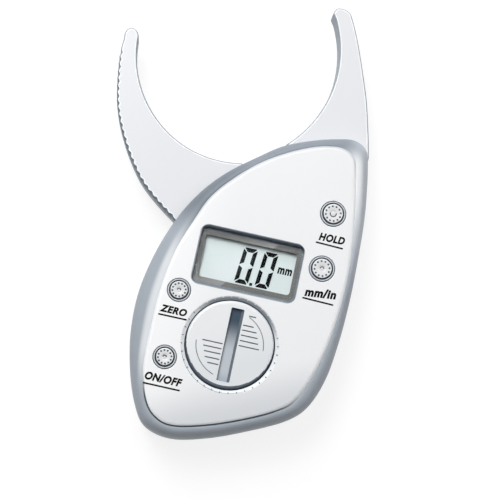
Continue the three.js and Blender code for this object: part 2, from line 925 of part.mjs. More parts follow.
/** The coin cell, with its smaller negative face down. */
function batteryCell() {
  return turned(
    doorPlace,
    [
      [0, cellBottom],
      [cellRadius - cellRim, cellBottom],
      [cellRadius - cellRim, cellBottom + cellStep],
      [cellRadius, cellBottom + cellStep],
      [cellRadius, cellTop],
      [0, cellTop],
    ],
    wideSegments,
  );
}

const contactEnd = cellRadius + cellRoom + tubeWall + contactOverlap;

/** The leaf under the cell, out to the board. */
function negativeContact() {
  const middle = new THREE.Vector2(doorPlace.x - contactEnd / 2, doorPlace.y);
  return block(middle, contactEnd, contactWidth, contactBottom, contactTop);
}

/** The blade beside the cell with its foot out to the board. */
function positiveContact() {
  const inner = cellRadius + runGap;
  const foot = new THREE.Vector2(doorPlace.x + (inner + contactEnd) / 2, doorPlace.y);
  const blade = new THREE.Vector2(doorPlace.x + inner + contactThickness / 2, doorPlace.y);
  return joined([
    block(foot, contactEnd - inner, contactWidth, contactBottom, contactTop),
    block(blade, contactThickness, contactWidth, contactBottom, contactBottom + bladeHeight),
  ]);
}

// Board and display

/** The main board, with room for the well and the screw bosses. */
function mainBoard() {
  const bottom = boardBottom - cutOverrun;
  const top = boardTop + cutOverrun;
  const wellHole = cellRadius + cellRoom + tubeWall + runGap;
  return cut(prism(inset(plateOutline, boardInset), boardBottom, boardTop), [
    bar(doorPlace, wellHole, bottom, top, wideSegments),
    ...[...outerScrewPlaces, ...jawScrewPlaces].map((place) =>
      bar(place, frontBossRadius + runGap, bottom, top, roundSegments),
    ),
    ...boardScrewPlaces.map((place) => bar(place, boardHoleRadius, bottom, top)),
    block(
      doorPlace,
      2 * (contactEnd + runGap),
      contactWidth + 2 * runGap,
      contactBottom - runGap,
      contactTop + runGap,
    ),
  ]);
}

const glassTop = deckBottom - seatGap;
const glassBottom = glassTop - glassThickness;

/** A strip of conductive rubber between the board and one edge of the display glass. */
function contactStrip(side) {
  const across = side * (glassWidth / 2 - stripInset - stripWidth / 2);
  const middle = new THREE.Vector2(displayPlace.x, displayPlace.y + across);
  return block(
    middle,
    glassLength - 2 * stripInset,
    stripWidth,
    boardTop + seatGap,
    glassBottom - seatGap,
  );
}

// Buttons

/** A button cap with its retaining flange and a shallow dimple. */
function buttonCap(button) {
  const radius = capRadiusOf(button);
  const top = plateTop + capProud;
  return turned(casingPoint(button.placeShare), [
    [0, capBottom],
    [radius + capFlangeWidth, capBottom],
    [radius + capFlangeWidth, capBottom + capFlangeThickness],
    [radius, capBottom + capFlangeThickness],
    [radius, top - capEdge],
    [radius - capEdge, top],
    [capDimpleRadius, top],
    [0, top - capDimpleDepth],
  ]);
}

/** The fixed body of a push switch on the board. */
function switchBody(button) {
  const place = casingPoint(button.placeShare);
  const hole = bar(
    place,
    plungerRadius + runGap,
    switchBottom - cutOverrun,
    switchTop + cutOverrun,
  );
  return block(place, switchSize, switchSize, switchBottom, switchTop).subtract(hole);
}

// Screws

/** A pan head screw with a cross recess, its head down and its shank up. */
function screw(place, head, headRadius, headHeight, shankRadius, length) {
  const body = joined([
    bar(place, headRadius, head, head + headHeight, roundSegments),
    bar(place, shankRadius, head + headHeight - joinDepth, head + headHeight + length),
  ]);
  const reach = headRadius;
  return cut(body, [
    block(place, reach, recessWidth, head - cutOverrun, head + recessDepth),
    block(place, recessWidth, reach, head - cutOverrun, head + recessDepth),
  ]);
}

/** One of the screws that hold the casing together. */
function caseScrew(place) {
  return screw(
    place,
    caseHeadInset,
    caseHeadRadius,
    caseHeadHeight,
    caseShankRadius,
    caseScrewLength,
  );
}

/** One of the screws that hold the board to the front housing. */
function boardScrew(place) {
  const head = boardBottom - runGap - boardHeadHeight;
  return screw(
    place,
    head,
    boardHeadRadius,
    boardHeadHeight,
    boardShankRadius,
    boardScrewLength,
  );
}

// Pivot pieces

const bushTop = jawBottom + bushLength;
const ringBottom = bushTop + runGap;

/** The pivot pin, with a groove near its top for the retaining ring. */
function pivotPin() {
  const groove = pinRadius - pinGrooveDepth;
  const top = ringBottom + ringThickness + pinHeadRoom;
  return turned(pivot, [
    [0, floorThickness + seatGap],
    [pinRadius, floorThickness + seatGap],
    [pinRadius, ringBottom - seatGap],
    [groove, ringBottom - seatGap],
    [groove, ringBottom + ringThickness + seatGap],
    [pinRadius, ringBottom + ringThickness + seatGap],
    [pinRadius, top],
    [0, top],
  ]);
}

/** A flat ring about the pivot. */
function pivotRing(inner, outer, bottom, top) {
  return turned(pivot, [[inner, bottom], [outer, bottom], [outer, top], [inner, top]]);
}

/** The open retaining ring in the pin's groove. */
function retainingRing() {
  const inner = pinRadius - pinGrooveDepth + seatGap;
  return ringSector(
    pivot,
    inner,
    ringRadius,
    0,
    360 - ringMouthAngle,
    ringBottom,
    ringBottom + ringThickness,
  );
}

// Assembly

const rimGrey = new THREE.MeshStandardMaterial({ color: 0x8a929c, metalness: 0.3, roughness: 0.4 });
const silver = new THREE.MeshStandardMaterial({ color: 0xdfe1e5, metalness: 0.3, roughness: 0.35 });
const jawWhite = new THREE.MeshStandardMaterial({ color: 0xe4e5e9, metalness: 0.1, roughness: 0.4 });
const steel = new THREE.MeshStandardMaterial({ color: 0xb4b8bd, metalness: 0.9, roughness: 0.3 });
const brass = new THREE.MeshStandardMaterial({ color: 0xc2a35a, metalness: 0.9, roughness: 0.35 });
const board = new THREE.MeshStandardMaterial({ color: 0x2c6e4a, metalness: 0, roughness: 0.5 });
const black = new THREE.MeshStandardMaterial({ color: 0x26282b, metalness: 0, roughness: 0.6 });
const lensClear = new THREE.MeshStandardMaterial({ color: 0xd7e4e2, metalness: 0, roughness: 0.1 });
const nylon = new THREE.MeshStandardMaterial({ color: 0xf0eee6, metalness: 0, roughness: 0.5 });

const caliper = new THREE.Group();

/** Adds a solid to the caliper as a named mesh. */
function addPiece(name, piece, material) {
  const { numProp, numVert, vertProperties, triVerts } = piece.getMesh();
  const positions = new Float32Array(numVert * 3);
  for (let i = 0; i < numVert; i++) {
    positions.set(vertProperties.subarray(i * numProp, i * numProp + 3), i * 3);
  }
  const geometry = new THREE.BufferGeometry();
  geometry.setAttribute("position", new THREE.BufferAttribute(positions, 3));
  geometry.setIndex(new THREE.BufferAttribute(triVerts, 1));
  geometry.computeVertexNormals();
  const mesh = new THREE.Mesh(geometry, material);
  mesh.name = name;
  caliper.add(mesh);
}

addPiece("rear_cover", rearCover(), rimGrey);
addPiece("front_housing", frontHousing(), rimGrey);
addPiece("face_plate", facePlate(), silver);
addPiece("fixed_jaw", fixedJaw(), jawWhite);
addPiece("moving_jaw", movingJaw(), jawWhite);

addPiece("pivot_pin", pivotPin(), steel);
const boss = floorThickness + pivotBossHeight;
const washerBottom = boss + seatGap;
addPiece(
  "thrust_washer",
  pivotRing(washerBore, pivotBossRadius, washerBottom, washerBottom + washerThickness),
  nylon,
);
const bushInner = pinRadius + runGap;
addPiece("pivot_bush", pivotRing(bushInner, bushInner + bushWall, jawBottom, bushTop), brass);
addPiece("retaining_ring", retainingRing(), steel);
addPiece("torsion_spring", torsionSpring(), steel);
addPiece("encoder_rotor", pivotRing(rotorBore, rotorRadius, rotorBottom, rotorTop), brass);

addPiece("main_board", mainBoard(), board);
const chipPlace = casingPoint(chipPlaceShare);
addPiece(
  "controller_chip",
  block(chipPlace, chipSize, chipSize, switchBottom, switchBottom + chipHeight),
  black,
);
const crystalPlace = casingPoint(crystalPlaceShare);
addPiece(
  "clock_crystal",
  block(crystalPlace, crystalWidth, crystalLength, switchBottom, switchBottom + crystalHeight),
  steel,
);
const lens = roundedRectangle(displayPlace, lensLength, lensWidth, lensCorner);
addPiece("display_lens", prism(lens, plateBottom, plateBottom + lensThickness), lensClear);
addPiece(
  "display_glass",
  block(displayPlace, glassLength, glassWidth, glassBottom, glassTop),
  lensClear,
);
addPiece("contact_strip_upper", contactStrip(1), black);
addPiece("contact_strip_lower", contactStrip(-1), black);

for (const button of buttons) {
  const place = casingPoint(button.placeShare);
  addPiece(button.name + "_button", buttonCap(button), silver);
  addPiece(button.name + "_plunger", bar(place, plungerRadius, plungerBottom, plungerTop), black);
  addPiece(button.name + "_switch", switchBody(button), steel);
}

addPiece("battery_door", batteryDoor(), silver);
addPiece("door_seal", doorSeal(), black);
addPiece("battery_cell", batteryCell(), steel);
addPiece("battery_contact_negative", negativeContact(), steel);
addPiece("battery_contact_positive", positiveContact(), steel);

[...outerScrewPlaces, ...jawScrewPlaces].forEach((place, i) => {
  addPiece("case_screw_" + (i + 1), caseScrew(place), steel);
});
boardScrewPlaces.forEach((place, i) => {
  addPiece("board_screw_" + (i + 1), boardScrew(place), steel);
});

export default caliper;
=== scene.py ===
"""The looks of a digital skinfold caliper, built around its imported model.

Sizes and places are in millimetres, in the model's own frame: the jaw's pivot axis stands on
the origin, X runs along the display, Y towards the jaws and Z out of the face.
"""

from __future__ import annotations

import logging
import math
from dataclasses import dataclass, field
from enum import Enum, IntEnum
from typing import Callable, Iterable, Sequence

import bmesh
import bpy
from mathutils import Matrix, Vector


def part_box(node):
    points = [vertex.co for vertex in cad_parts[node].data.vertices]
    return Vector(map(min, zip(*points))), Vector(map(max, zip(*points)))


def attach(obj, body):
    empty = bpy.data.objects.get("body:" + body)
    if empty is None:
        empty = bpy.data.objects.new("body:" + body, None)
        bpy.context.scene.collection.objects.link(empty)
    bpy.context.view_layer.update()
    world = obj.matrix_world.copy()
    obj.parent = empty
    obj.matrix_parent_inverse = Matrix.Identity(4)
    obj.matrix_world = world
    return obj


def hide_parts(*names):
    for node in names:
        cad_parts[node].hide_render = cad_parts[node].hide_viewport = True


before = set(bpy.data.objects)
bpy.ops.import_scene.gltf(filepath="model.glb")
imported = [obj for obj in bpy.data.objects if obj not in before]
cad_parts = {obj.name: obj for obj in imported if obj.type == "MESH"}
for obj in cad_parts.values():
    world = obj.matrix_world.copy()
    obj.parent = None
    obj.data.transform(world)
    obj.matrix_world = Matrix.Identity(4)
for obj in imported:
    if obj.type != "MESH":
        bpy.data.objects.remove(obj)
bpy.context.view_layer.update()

log = logging.getLogger("caliper")

# Metres in a millimetre
MM = 0.001
# Points nearer than this become one
WELD = 0.0004
# Edges that turn more than this stay sharp
CREASE = math.radians(36.0)
# How far a tool runs on past the body that it cuts
OVERSHOOT = 1.0
# Finish numbers that a carved mesh keeps room for
SLOTS_PER_PIECE = 6

# Steps of a curve's span or of a quarter turn
SPAN_STEPS = 8
# Steps of a full turn, from small bars to the large rings
BAR_STEPS = 48
BUTTON_STEPS = 72
ROUND_STEPS = 96
FINE_STEPS = 144
# Steps of a span where a curve is measured
MEASURE_STEPS = 40
# The turns of the points on a stroke's round end
CAP_TURNS = (45, 90, 135)

# The case screws by number, and those of them that hold the fixed jaw's root
CASE_SCREWS = range(1, 7)
JAW_SCREWS = (5, 6)

Point = tuple[float, float]
Tint = tuple[int, int, int]
Socket = bpy.types.NodeSocket


def linear(tint: Tint) -> tuple[float, float, float, float]:
    """Turn a colour of 0 to 255 into Blender's linear values.

    Args:
        tint: Red, green and blue as a screen shows them.

    Returns:
        Red, green, blue and a full alpha.
    """
    values = []
    for part in tint:
        share = part / 255.0
        # The usual curve of a screen: a straight foot and then a power
        values.append(share / 12.92 if share <= 0.04045 else ((share + 0.055) / 1.055) ** 2.4)
    return (*values, 1.0)


def polar(centre: Point, radius: float, degrees: float) -> Point:
    """Give the point at a radius and an angle round a centre."""
    turn = math.radians(degrees)
    return centre[0] + radius * math.cos(turn), centre[1] + radius * math.sin(turn)


@dataclass(frozen=True)
class Extent:
    """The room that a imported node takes, in millimetres."""

    low: Vector
    high: Vector

    @classmethod
    def of(cls, node: str) -> Extent:
        """Read a node's box from the frame."""
        low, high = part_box(node)
        return cls(low / MM, high / MM)

    @property
    def centre(self) -> Point:
        """The middle of the box in plan."""
        return (self.low.x + self.high.x) / 2, (self.low.y + self.high.y) / 2

    @property
    def size(self) -> Point:
        """The width and the length of the box in plan."""
        return self.high.x - self.low.x, self.high.y - self.low.y


class Curve:
    """A smooth line through listed points."""

    def __init__(self, points: Iterable[Point], closed: bool = False) -> None:
        """Keep the points of the line.

        Args:
            points: The points that the line passes through.
            closed: Whether the line runs on to its first point.
        """
        self.points = [Vector(point) for point in points]
        self.closed = closed

    def at(self, index: int) -> Vector:
        """Give a point by its number, past both ends too."""
        count = len(self.points)
        if self.closed:
            return self.points[index % count]
        if index < 0:
            return self.points[0] * 2 - self.points[1]
        if index >= count:
            return self.points[-1] * 2 - self.points[-2]
        return self.points[index]

    def sample(self, steps: int) -> list[Vector]:
        """Read the line at even steps of each span.

        Args:
            steps: How many steps each span between two points takes.

        Returns:
            The points along the line, without a repeated first point.
        """
        spans = len(self.points) if self.closed else len(self.points) - 1
        line = []
        for span in range(spans):
            before, start, end, after = (self.at(span + i) for i in (-1, 0, 1, 2))
            lead_in = (end - before) / 2
            lead_out = (after - start) / 2
            for step in range(steps):
                t = step / steps
                line.append(
                    start * (2 * t**3 - 3 * t**2 + 1)
                    + lead_in * (t**3 - 2 * t**2 + t)
                    + end * (3 * t**2 - 2 * t**3)
                    + lead_out * (t**3 - t**2)
                )
        return line if self.closed else line + [self.points[-1]]

    def length(self) -> float:
        """Measure the line from its first point to its last one."""
        line = self.sample(MEASURE_STEPS)
        return sum((there - here).length for here, there in zip(line, line[1:]))

    def along(self, shares: Sequence[float], aside: Sequence[float]) -> list[Point]:
        """Give points at shares of the line's length, moved to its right side.

        Args:
            shares: Where along the line each point lies, from 0 to 1.
            aside: How far each point stands off to the right.

        Returns:
            One point for each share.
        """
        line = self.sample(MEASURE_STEPS)
        reach = [0.0]
        for here, there in zip(line, line[1:]):
            reach.append(reach[-1] + (there - here).length)
        points = []
        index = 0
        for share, distance in zip(shares, aside):
            goal = share * reach[-1]
            while index < len(line) - 2 and reach[index + 1] < goal:
                index += 1
            step = line[index + 1] - line[index]
            here = line[index] + step * ((goal - reach[index]) / step.length)
            step.normalize()
            points.append((here.x + step.y * distance, here.y - step.x * distance))
        return points


@dataclass(frozen=True)
class Outline:
    """A closed line in plan, counter-clockwise."""

    points: tuple[Vector, ...]

    @classmethod
    def of(cls, points: Iterable[Point]) -> Outline:
        """Make an outline from its points."""
        return cls(tuple(Vector(point) for point in points))

    @classmethod
    def circle(cls, centre: Point, radius: float, steps: int = ROUND_STEPS) -> Outline:
        """Make a circle."""
        return cls.of(polar(centre, radius, 360 * i / steps) for i in range(steps))

    @classmethod
    def rounded(cls, centre: Point, width: float, length: float, corner: float) -> Outline:
        """Make a rectangle with round corners.

        Args:
            centre: Its middle.
            width: Its size along X.
            length: Its size along Y.
            corner: The radius of its corners.

        Returns:
            The outline, with the same number of points for any size.
        """
        points = []
        for quarter, (side, end) in enumerate(((1, 1), (-1, 1), (-1, -1), (1, -1))):
            middle = (
                centre[0] + side * (width / 2 - corner),
                centre[1] + end * (length / 2 - corner),
            )
            for step in range(SPAN_STEPS + 1):
                points.append(polar(middle, corner, 90 * (quarter + step / SPAN_STEPS)))
        return cls.of(points)

    @classmethod
    def ribbon(cls, line: Sequence[Point], width: float) -> Outline:
        """Make a stroke with round ends along a line.

        Args:
            line: The middle of the stroke.
            width: The stroke's width.

        Returns:
            The outline round the stroke.
        """
        spots = [Vector(point) for point in line]
        sides: tuple[list[Vector], list[Vector]] = ([], [])
        for i, here in enumerate(spots):
            step = spots[min(i + 1, len(spots) - 1)] - spots[max(i - 1, 0)]
            aside = Vector((step.y, -step.x)).normalized() * (width / 2)
            sides[0].append(here + aside)
            sides[1].append(here - aside)
        caps = []
        for end, aside in ((spots[-1], sides[0][-1]), (spots[0], sides[1][0])):
            reach = aside - end
            lean = math.degrees(math.atan2(reach.y, reach.x))
            caps.append([Vector(polar(end, width / 2, lean + turn)) for turn in CAP_TURNS])
        return cls(tuple(sides[0] + caps[0] + sides[1][::-1] + caps[1]))

    def inset(self, distance: float) -> Outline:
        """Move the line inwards, or outwards where the distance is negative."""
        moved = []
        for i, here in enumerate(self.points):
            before = (here - self.points[i - 1]).normalized()
            after = (self.points[(i + 1) % len(self.points)] - here).normalized()
            sides = [Vector((-step.y, step.x)) for step in (before, after)]
            moved.append(here + (sides[0] + sides[1]) * (distance / (1 + sides[0].dot(sides[1]))))
        return Outline(tuple(moved))

    def towards(self, other: Outline, share: float) -> Outline:
        """Give the line part of the way to another one with as many points."""
        pairs = zip(self.points, other.points)
        return Outline(tuple(here.lerp(there, share) for here, there in pairs))


class Face(IntEnum):
    """The finish numbers of most pieces."""

    MAIN = 0
    SHADE = 1
    SEAM = 2


@dataclass(frozen=True)
class Ring:
    """One closed line of a skin: its outline, its height and the finish of the skin up to it."""

    outline: Outline
    height: float
    finish: int = Face.MAIN


class Cut(Enum):
    """How a tool meets the body that it is used on."""

    AWAY = "DIFFERENCE"
    JOIN = "UNION"


class Solid:
    """A closed body in the making."""

    def __init__(self) -> None:
        """Start with an empty mesh."""
        self.mesh = bmesh.new()

    def skin(self, rings: Sequence[Ring]) -> tuple[list, list]:
        """Draw the first ring and extrude it from one ring to the next.

        Args:
            rings: Rings of one point count, in order along the skin.

        Returns:
            The edges of the first ring and of the last one, which are still open.
        """
        start = rings[0]
        verts = [self.mesh.verts.new((*point, start.height)) for point in start.outline.points]
        first = [self.mesh.edges.new(pair) for pair in zip(verts, verts[1:] + verts[:1])]
        last = first
        for ring in rings[1:]:
            made = bmesh.ops.extrude_edge_only(self.mesh, edges=last)["geom"]
            fresh = {part for part in made if isinstance(part, bmesh.types.BMVert)}
            last = [
                part
                for part in made
                if isinstance(part, bmesh.types.BMEdge) and fresh.issuperset(part.verts)
            ]
            verts = [
                next(e.other_vert(v) for e in v.link_edges if e.other_vert(v) in fresh)
                for v in verts
            ]
            for vert, point in zip(verts, ring.outline.points):
                vert.co = (*point, ring.height)
            for part in made:
                if isinstance(part, bmesh.types.BMFace):
                    part.material_index = ring.finish
        return first, last

    def fill(self, *loops: list, finish: int = Face.MAIN) -> None:
        """Close level loops with one flat face, with holes where loops lie inside it.

        Args:
            *loops: Edge loops of one height.
            finish: The finish of the new faces.
        """
        edges = [edge for loop in loops for edge in loop]
        made = bmesh.ops.triangle_fill(self.mesh, use_beauty=True, edges=edges)
        for part in made["geom"]:
            if isinstance(part, bmesh.types.BMFace):
                part.material_index = finish

    def stack(self, rings: Sequence[Ring]) -> Solid:
        """Skin rings and close both ends."""
        first, last = self.skin(rings)
        self.fill(first, finish=rings[0].finish)
        self.fill(last, finish=rings[-1].finish)
        return self

    def paint(self, finish: int, where: Callable[[Vector], bool]) -> Solid:
        """Give a finish to the faces whose middle passes a test."""
        for face in self.mesh.faces:
            if where(face.calc_center_median()):
                face.material_index = finish
        return self

    def clean(self) -> None:
        """Merge what touches and turn all faces outwards."""
        bmesh.ops.remove_doubles(self.mesh, verts=self.mesh.verts, dist=WELD)
        bmesh.ops.recalc_face_normals(self.mesh, faces=self.mesh.faces)

    def add(self, other: Solid) -> None:
        """Take in another body's mesh as it is, which uses the body up."""
        spare = bpy.data.meshes.new("spare")
        other.clean()
        other.mesh.to_mesh(spare)
        other.mesh.free()
        self.mesh.from_mesh(spare)
        bpy.data.meshes.remove(spare)

    def carve(self, tool: Solid, way: Cut = Cut.AWAY) -> None:
        """Cut a tool away, or join it on.

        Args:
            tool: The other body, which is used up.
            way: Whether the tool is cut away or joined.
        """
        carriers = []
        for solid in (self, tool):
            solid.clean()
            mesh = bpy.data.meshes.new("carving")
            for _ in range(SLOTS_PER_PIECE):
                mesh.materials.append(None)
            solid.mesh.to_mesh(mesh)
            solid.mesh.free()
            carrier = bpy.data.objects.new("carving", mesh)
            bpy.context.scene.collection.objects.link(carrier)
            carriers.append(carrier)
        modifier = carriers[0].modifiers.new("carving", "BOOLEAN")
        modifier.operation = way.value
        modifier.solver = "EXACT"
        modifier.material_mode = "INDEX"
        modifier.object = carriers[1]
        graph = bpy.context.evaluated_depsgraph_get()
        result = bpy.data.meshes.new_from_object(carriers[0].evaluated_get(graph))
        self.mesh = bmesh.new()
        self.mesh.from_mesh(result)
        for carrier in carriers:
            mesh = carrier.data
            bpy.data.objects.remove(carrier)
            bpy.data.meshes.remove(mesh)
        bpy.data.meshes.remove(result)


def turned(profile: Sequence[Point], centre: Point = (0, 0), steps: int = ROUND_STEPS) -> Solid:
    """Spin a profile round an upright axis.

    Args:
        profile: Radius and height of each point. It starts and ends on the axis, or else runs
            on to its first point.
        centre: The axis in plan.
        steps: How many steps the full turn takes.

    Returns:
        The closed body.
    """
    solid = Solid()
    mesh = solid.mesh
    verts = [mesh.verts.new((centre[0] + reach, centre[1], height)) for reach, height in profile]
    pairs = list(zip(verts, verts[1:]))
    if profile[0][0] > 0:
        pairs.append((verts[-1], verts[0]))
    edges = [mesh.edges.new(pair) for pair in pairs]
    bmesh.ops.spin(
        mesh,
        geom=verts + edges,
        cent=(*centre, 0),
        axis=(0, 0, 1),
        angle=math.tau,
        steps=steps,
        use_merge=True,
    )
    solid.clean()
    return solid


def quarter_turns(steps: int = SPAN_STEPS) -> list[float]:
    """Give the angles of a quarter turn in even steps, in radians."""
    return [math.pi / 2 * step / steps for step in range(steps + 1)]


def bar(
    centre: Point, radius: float, bottom: float, top: float, steps: int = BAR_STEPS
) -> Solid:
    """Make a plain round bar, a tool for carving."""
    return turned([(0, bottom), (radius, bottom), (radius, top), (0, top)], centre, steps)


def roll(
    radius: float, reach: float, height: float, drop: float, steps: int = SPAN_STEPS
) -> list[Point]:
    """Give a profile's round edge, from its wall up to its flat top.

    Args:
        radius: The radius of the wall.
        reach: How far in the round edge runs.
        height: The height of the flat top.
        drop: How far down the round edge runs.
        steps: How many steps the quarter turn takes.

    Returns:
        Radius and height of each point.
    """
    return [
        (radius - reach * (1 - math.cos(turn)), height - drop * (1 - math.sin(turn)))
        for turn in quarter_turns(steps)
    ]


def prism(outline: Outline, bottom: float, top: float, finish: int = Face.MAIN) -> Solid:
    """Make a body with straight sides between two heights."""
    return Solid().stack([Ring(outline, height, finish) for height in (bottom, top)])


def settle(
    solid: Solid,
    name: str,
    body: str,
    slot: str,
    finishes: Sequence[Finish],
    replaces: Sequence[str] = (),
) -> None:
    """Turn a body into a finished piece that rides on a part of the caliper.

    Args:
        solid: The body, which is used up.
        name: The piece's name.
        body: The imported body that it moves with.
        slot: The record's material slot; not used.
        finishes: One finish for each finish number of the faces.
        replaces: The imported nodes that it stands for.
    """
    solid.clean()
    bmesh.ops.scale(solid.mesh, vec=(MM, MM, MM), verts=solid.mesh.verts)
    mesh = bpy.data.meshes.new(name)
    solid.mesh.to_mesh(mesh)
    solid.mesh.free()
    for finish in finishes:
        mesh.materials.append(finish.material())
    mesh.shade_smooth()
    mesh.set_sharp_from_angle(angle=CREASE)
    piece = bpy.data.objects.new(name, mesh)
    bpy.context.scene.collection.objects.link(piece)
    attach(piece, body)
    if replaces:
        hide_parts(*replaces)
    log.info("%s: %d faces on %s", name, len(mesh.polygons), body)


# Finishes

# The middle value of a noise
NOISE_MEAN = 0.5
SOFT_DETAIL = 2.0
FINE_DETAIL = 3.0
# The slow drift of a moulded surface: its pitch, and how much it moves the roughness
DRIFT_PITCH = 26.0
DRIFT_OF_ROUGHNESS = 0.16
# How much the fine grain adds to the drift of the tone
GRAIN_SHARE = 0.5
# Brushed metal: the stretch of its streaks, its stain and its roughness
STREAK_STRETCH = (0.2, 6.0, 6.0)
STAIN_PITCH = 5.0
STAIN_DEPTH = 0.25
STAIN_BASE = 0.88
STREAK_OF_ROUGHNESS = 0.3
# How soft the line of the painted glare on the window is, and where the painted glare starts to
# fade
GLARE_EDGE = 0.25
GLARE_FADE = 0.5
RELIEF_STRENGTH = 0.4


class Nodes:
    """Adds nodes to a tree and joins them."""

    def __init__(self, tree: bpy.types.NodeTree) -> None:
        """Work on a tree."""
        self.tree = tree

    def feed(self, socket: Socket, value: object) -> None:
        """Join a socket to another one, or set its value."""
        if isinstance(value, bpy.types.NodeSocket):
            self.tree.links.new(value, socket)
        else:
            socket.default_value = value

    def add(self, kind: str, inputs: dict | None = None, **settings: object) -> bpy.types.Node:
        """Add a node.

        Args:
            kind: The node's type.
            inputs: A value or a socket for each named or numbered input.
            **settings: The node's own settings.

        Returns:
            The node.
        """
        node = self.tree.nodes.new(kind)
        for name, value in settings.items():
            setattr(node, name, value)
        for name, value in (inputs or {}).items():
            self.feed(node.inputs[name], value)
        return node

    def sum(
        self, operation: str, first: object, second: object = 0.0, third: object = 0.0
    ) -> Socket:
        """Work out one value from up to three."""
        inputs = {0: first, 1: second, 2: third}
        return self.add("ShaderNodeMath", inputs, operation=operation).outputs[0]

    def scaled(self, vector: object, factor: object) -> Socket:
        """Scale a vector or a colour."""
        inputs = {0: vector, "Scale": factor}
        return self.add("ShaderNodeVectorMath", inputs, operation="SCALE").outputs[0]

    def place(self) -> Socket:
        """Give the place on the object in millimetres."""
        spot = self.add("ShaderNodeTexCoord").outputs["Object"]
        return self.scaled(spot, 1 / MM)

    def axes(self, vector: object) -> Sequence[Socket]:
        """Split a vector into X, Y and Z."""
        return self.add("ShaderNodeSeparateXYZ", {0: vector}).outputs

    def noise(self, place: object, pitch: object, detail: float = SOFT_DETAIL) -> Socket:
        """Give a soft random value that changes over a pitch in millimetres."""
        scale = self.sum("DIVIDE", 1.0, pitch)
        inputs = {"Vector": place, "Scale": scale, "Detail": detail}
        return self.add("ShaderNodeTexNoise", inputs).outputs["Fac"]

    def mix(self, factor: object, first: object, second: object) -> Socket:
        """Mix two colours."""
        node = self.add("ShaderNodeMix", data_type="RGBA")
        for name, value in (("Factor_Float", factor), ("A_Color", first), ("B_Color", second)):
            self.feed(next(s for s in node.inputs if s.identifier == name), value)
        return next(s for s in node.outputs if s.identifier == "Result_Color")

    def ramp(self, value: object, low: object, high: object) -> Socket:
        """Turn a value into 0 at one bound and 1 at another, softly."""
        node = self.add(
            "ShaderNodeMapRange",
            {"Value": value, "From Min": low, "From Max": high},
            interpolation_type="SMOOTHSTEP",
        )
        return node.outputs["Result"]


class Group(Enum):
    """The effects that more than one finish uses."""

    SURFACE = "Moulded surface"
    FLAKE = "Metal flake"
    BRUSHED = "Brushed metal"
    GLARE = "Window glare"
    BAND = "Tone band"


def begin_group(
    kind: Group,
    takes: dict[str, str],
    gives: dict[str, str],
) -> tuple[bpy.types.NodeTree, Nodes, Sequence[Socket], Sequence[Socket]]:
    """Start a node group with named sockets.

    Args:
        kind: Which effect it is.
        takes: The name and the type of each input.
        gives: The name and the type of each output.

    Returns:
        The group, a helper to add nodes to it, and its inner ends.
    """
    tree = bpy.data.node_groups.new(kind.value, "ShaderNodeTree")
    for way, sockets in (("INPUT", takes), ("OUTPUT", gives)):
        for name, shape in sockets.items():
            tree.interface.new_socket(name, in_out=way, socket_type=f"NodeSocket{shape}")
    nodes = Nodes(tree)
    inner = nodes.add("NodeGroupInput").outputs
    outer = nodes.add("NodeGroupOutput").inputs
    return tree, nodes, inner, outer


def surface_group() -> bpy.types.NodeTree:
    """Build the slow drift of tone and the fine grain of a moulded surface."""
    takes = {"Colour": "Color", "Drift": "Float", "Roughness": "Float", "Pitch": "Float"}
    gives = {"Colour": "Color", "Roughness": "Float", "Grain": "Float"}
    tree, nodes, inner, outer = begin_group(Group.SURFACE, takes, gives)
    place = nodes.place()
    broad = nodes.sum("SUBTRACT", nodes.noise(place, DRIFT_PITCH), NOISE_MEAN)
    fine = nodes.noise(place, inner["Pitch"], FINE_DETAIL)
    speck = nodes.sum("SUBTRACT", fine, NOISE_MEAN)
    sway = nodes.sum("MULTIPLY_ADD", speck, GRAIN_SHARE, broad)
    tone = nodes.sum("MULTIPLY_ADD", sway, inner["Drift"], 1.0)
    nodes.feed(outer["Colour"], nodes.scaled(inner["Colour"], tone))
    rough = nodes.sum("MULTIPLY_ADD", broad, DRIFT_OF_ROUGHNESS, inner["Roughness"])
    nodes.feed(outer["Roughness"], rough)
    nodes.feed(outer["Grain"], fine)
    return tree


def flake_group() -> bpy.types.NodeTree:
    """Build the sparkle of metal flakes in a paint."""
    takes = {"Colour": "Color", "Pitch": "Float", "Sparkle": "Float"}
    gives = {"Colour": "Color", "Flake": "Float"}
    tree, nodes, inner, outer = begin_group(Group.FLAKE, takes, gives)
    scale = nodes.sum("DIVIDE", 1.0, inner["Pitch"])
    cells = nodes.add("ShaderNodeTexVoronoi", {"Vector": nodes.place(), "Scale": scale})
    chance = nodes.axes(cells.outputs["Color"])[0]
    swing = nodes.sum("SUBTRACT", chance, NOISE_MEAN)
    tone = nodes.sum("MULTIPLY_ADD", swing, inner["Sparkle"], 1.0)
    nodes.feed(outer["Colour"], nodes.scaled(inner["Colour"], tone))
    nodes.feed(outer["Flake"], chance)
    return tree


def brushed_group() -> bpy.types.NodeTree:
    """Build fine streaks along X and a slow stain on bare metal."""
    takes = {"Colour": "Color", "Roughness": "Float"}
    gives = {"Colour": "Color", "Roughness": "Float", "Streak": "Float"}
    tree, nodes, inner, outer = begin_group(Group.BRUSHED, takes, gives)
    place = nodes.place()
    long = nodes.add("ShaderNodeMapping", {"Vector": place, "Scale": STREAK_STRETCH})
    streak = nodes.noise(long.outputs[0], 1.0, FINE_DETAIL)
    stain = nodes.noise(place, STAIN_PITCH)
    tone = nodes.sum("MULTIPLY_ADD", stain, STAIN_DEPTH, STAIN_BASE)
    nodes.feed(outer["Colour"], nodes.scaled(inner["Colour"], tone))
    swing = nodes.sum("SUBTRACT", streak, NOISE_MEAN)
    rough = nodes.sum("MULTIPLY_ADD", swing, STREAK_OF_ROUGHNESS, inner["Roughness"])
    nodes.feed(outer["Roughness"], rough)
    nodes.feed(outer["Streak"], streak)
    return tree


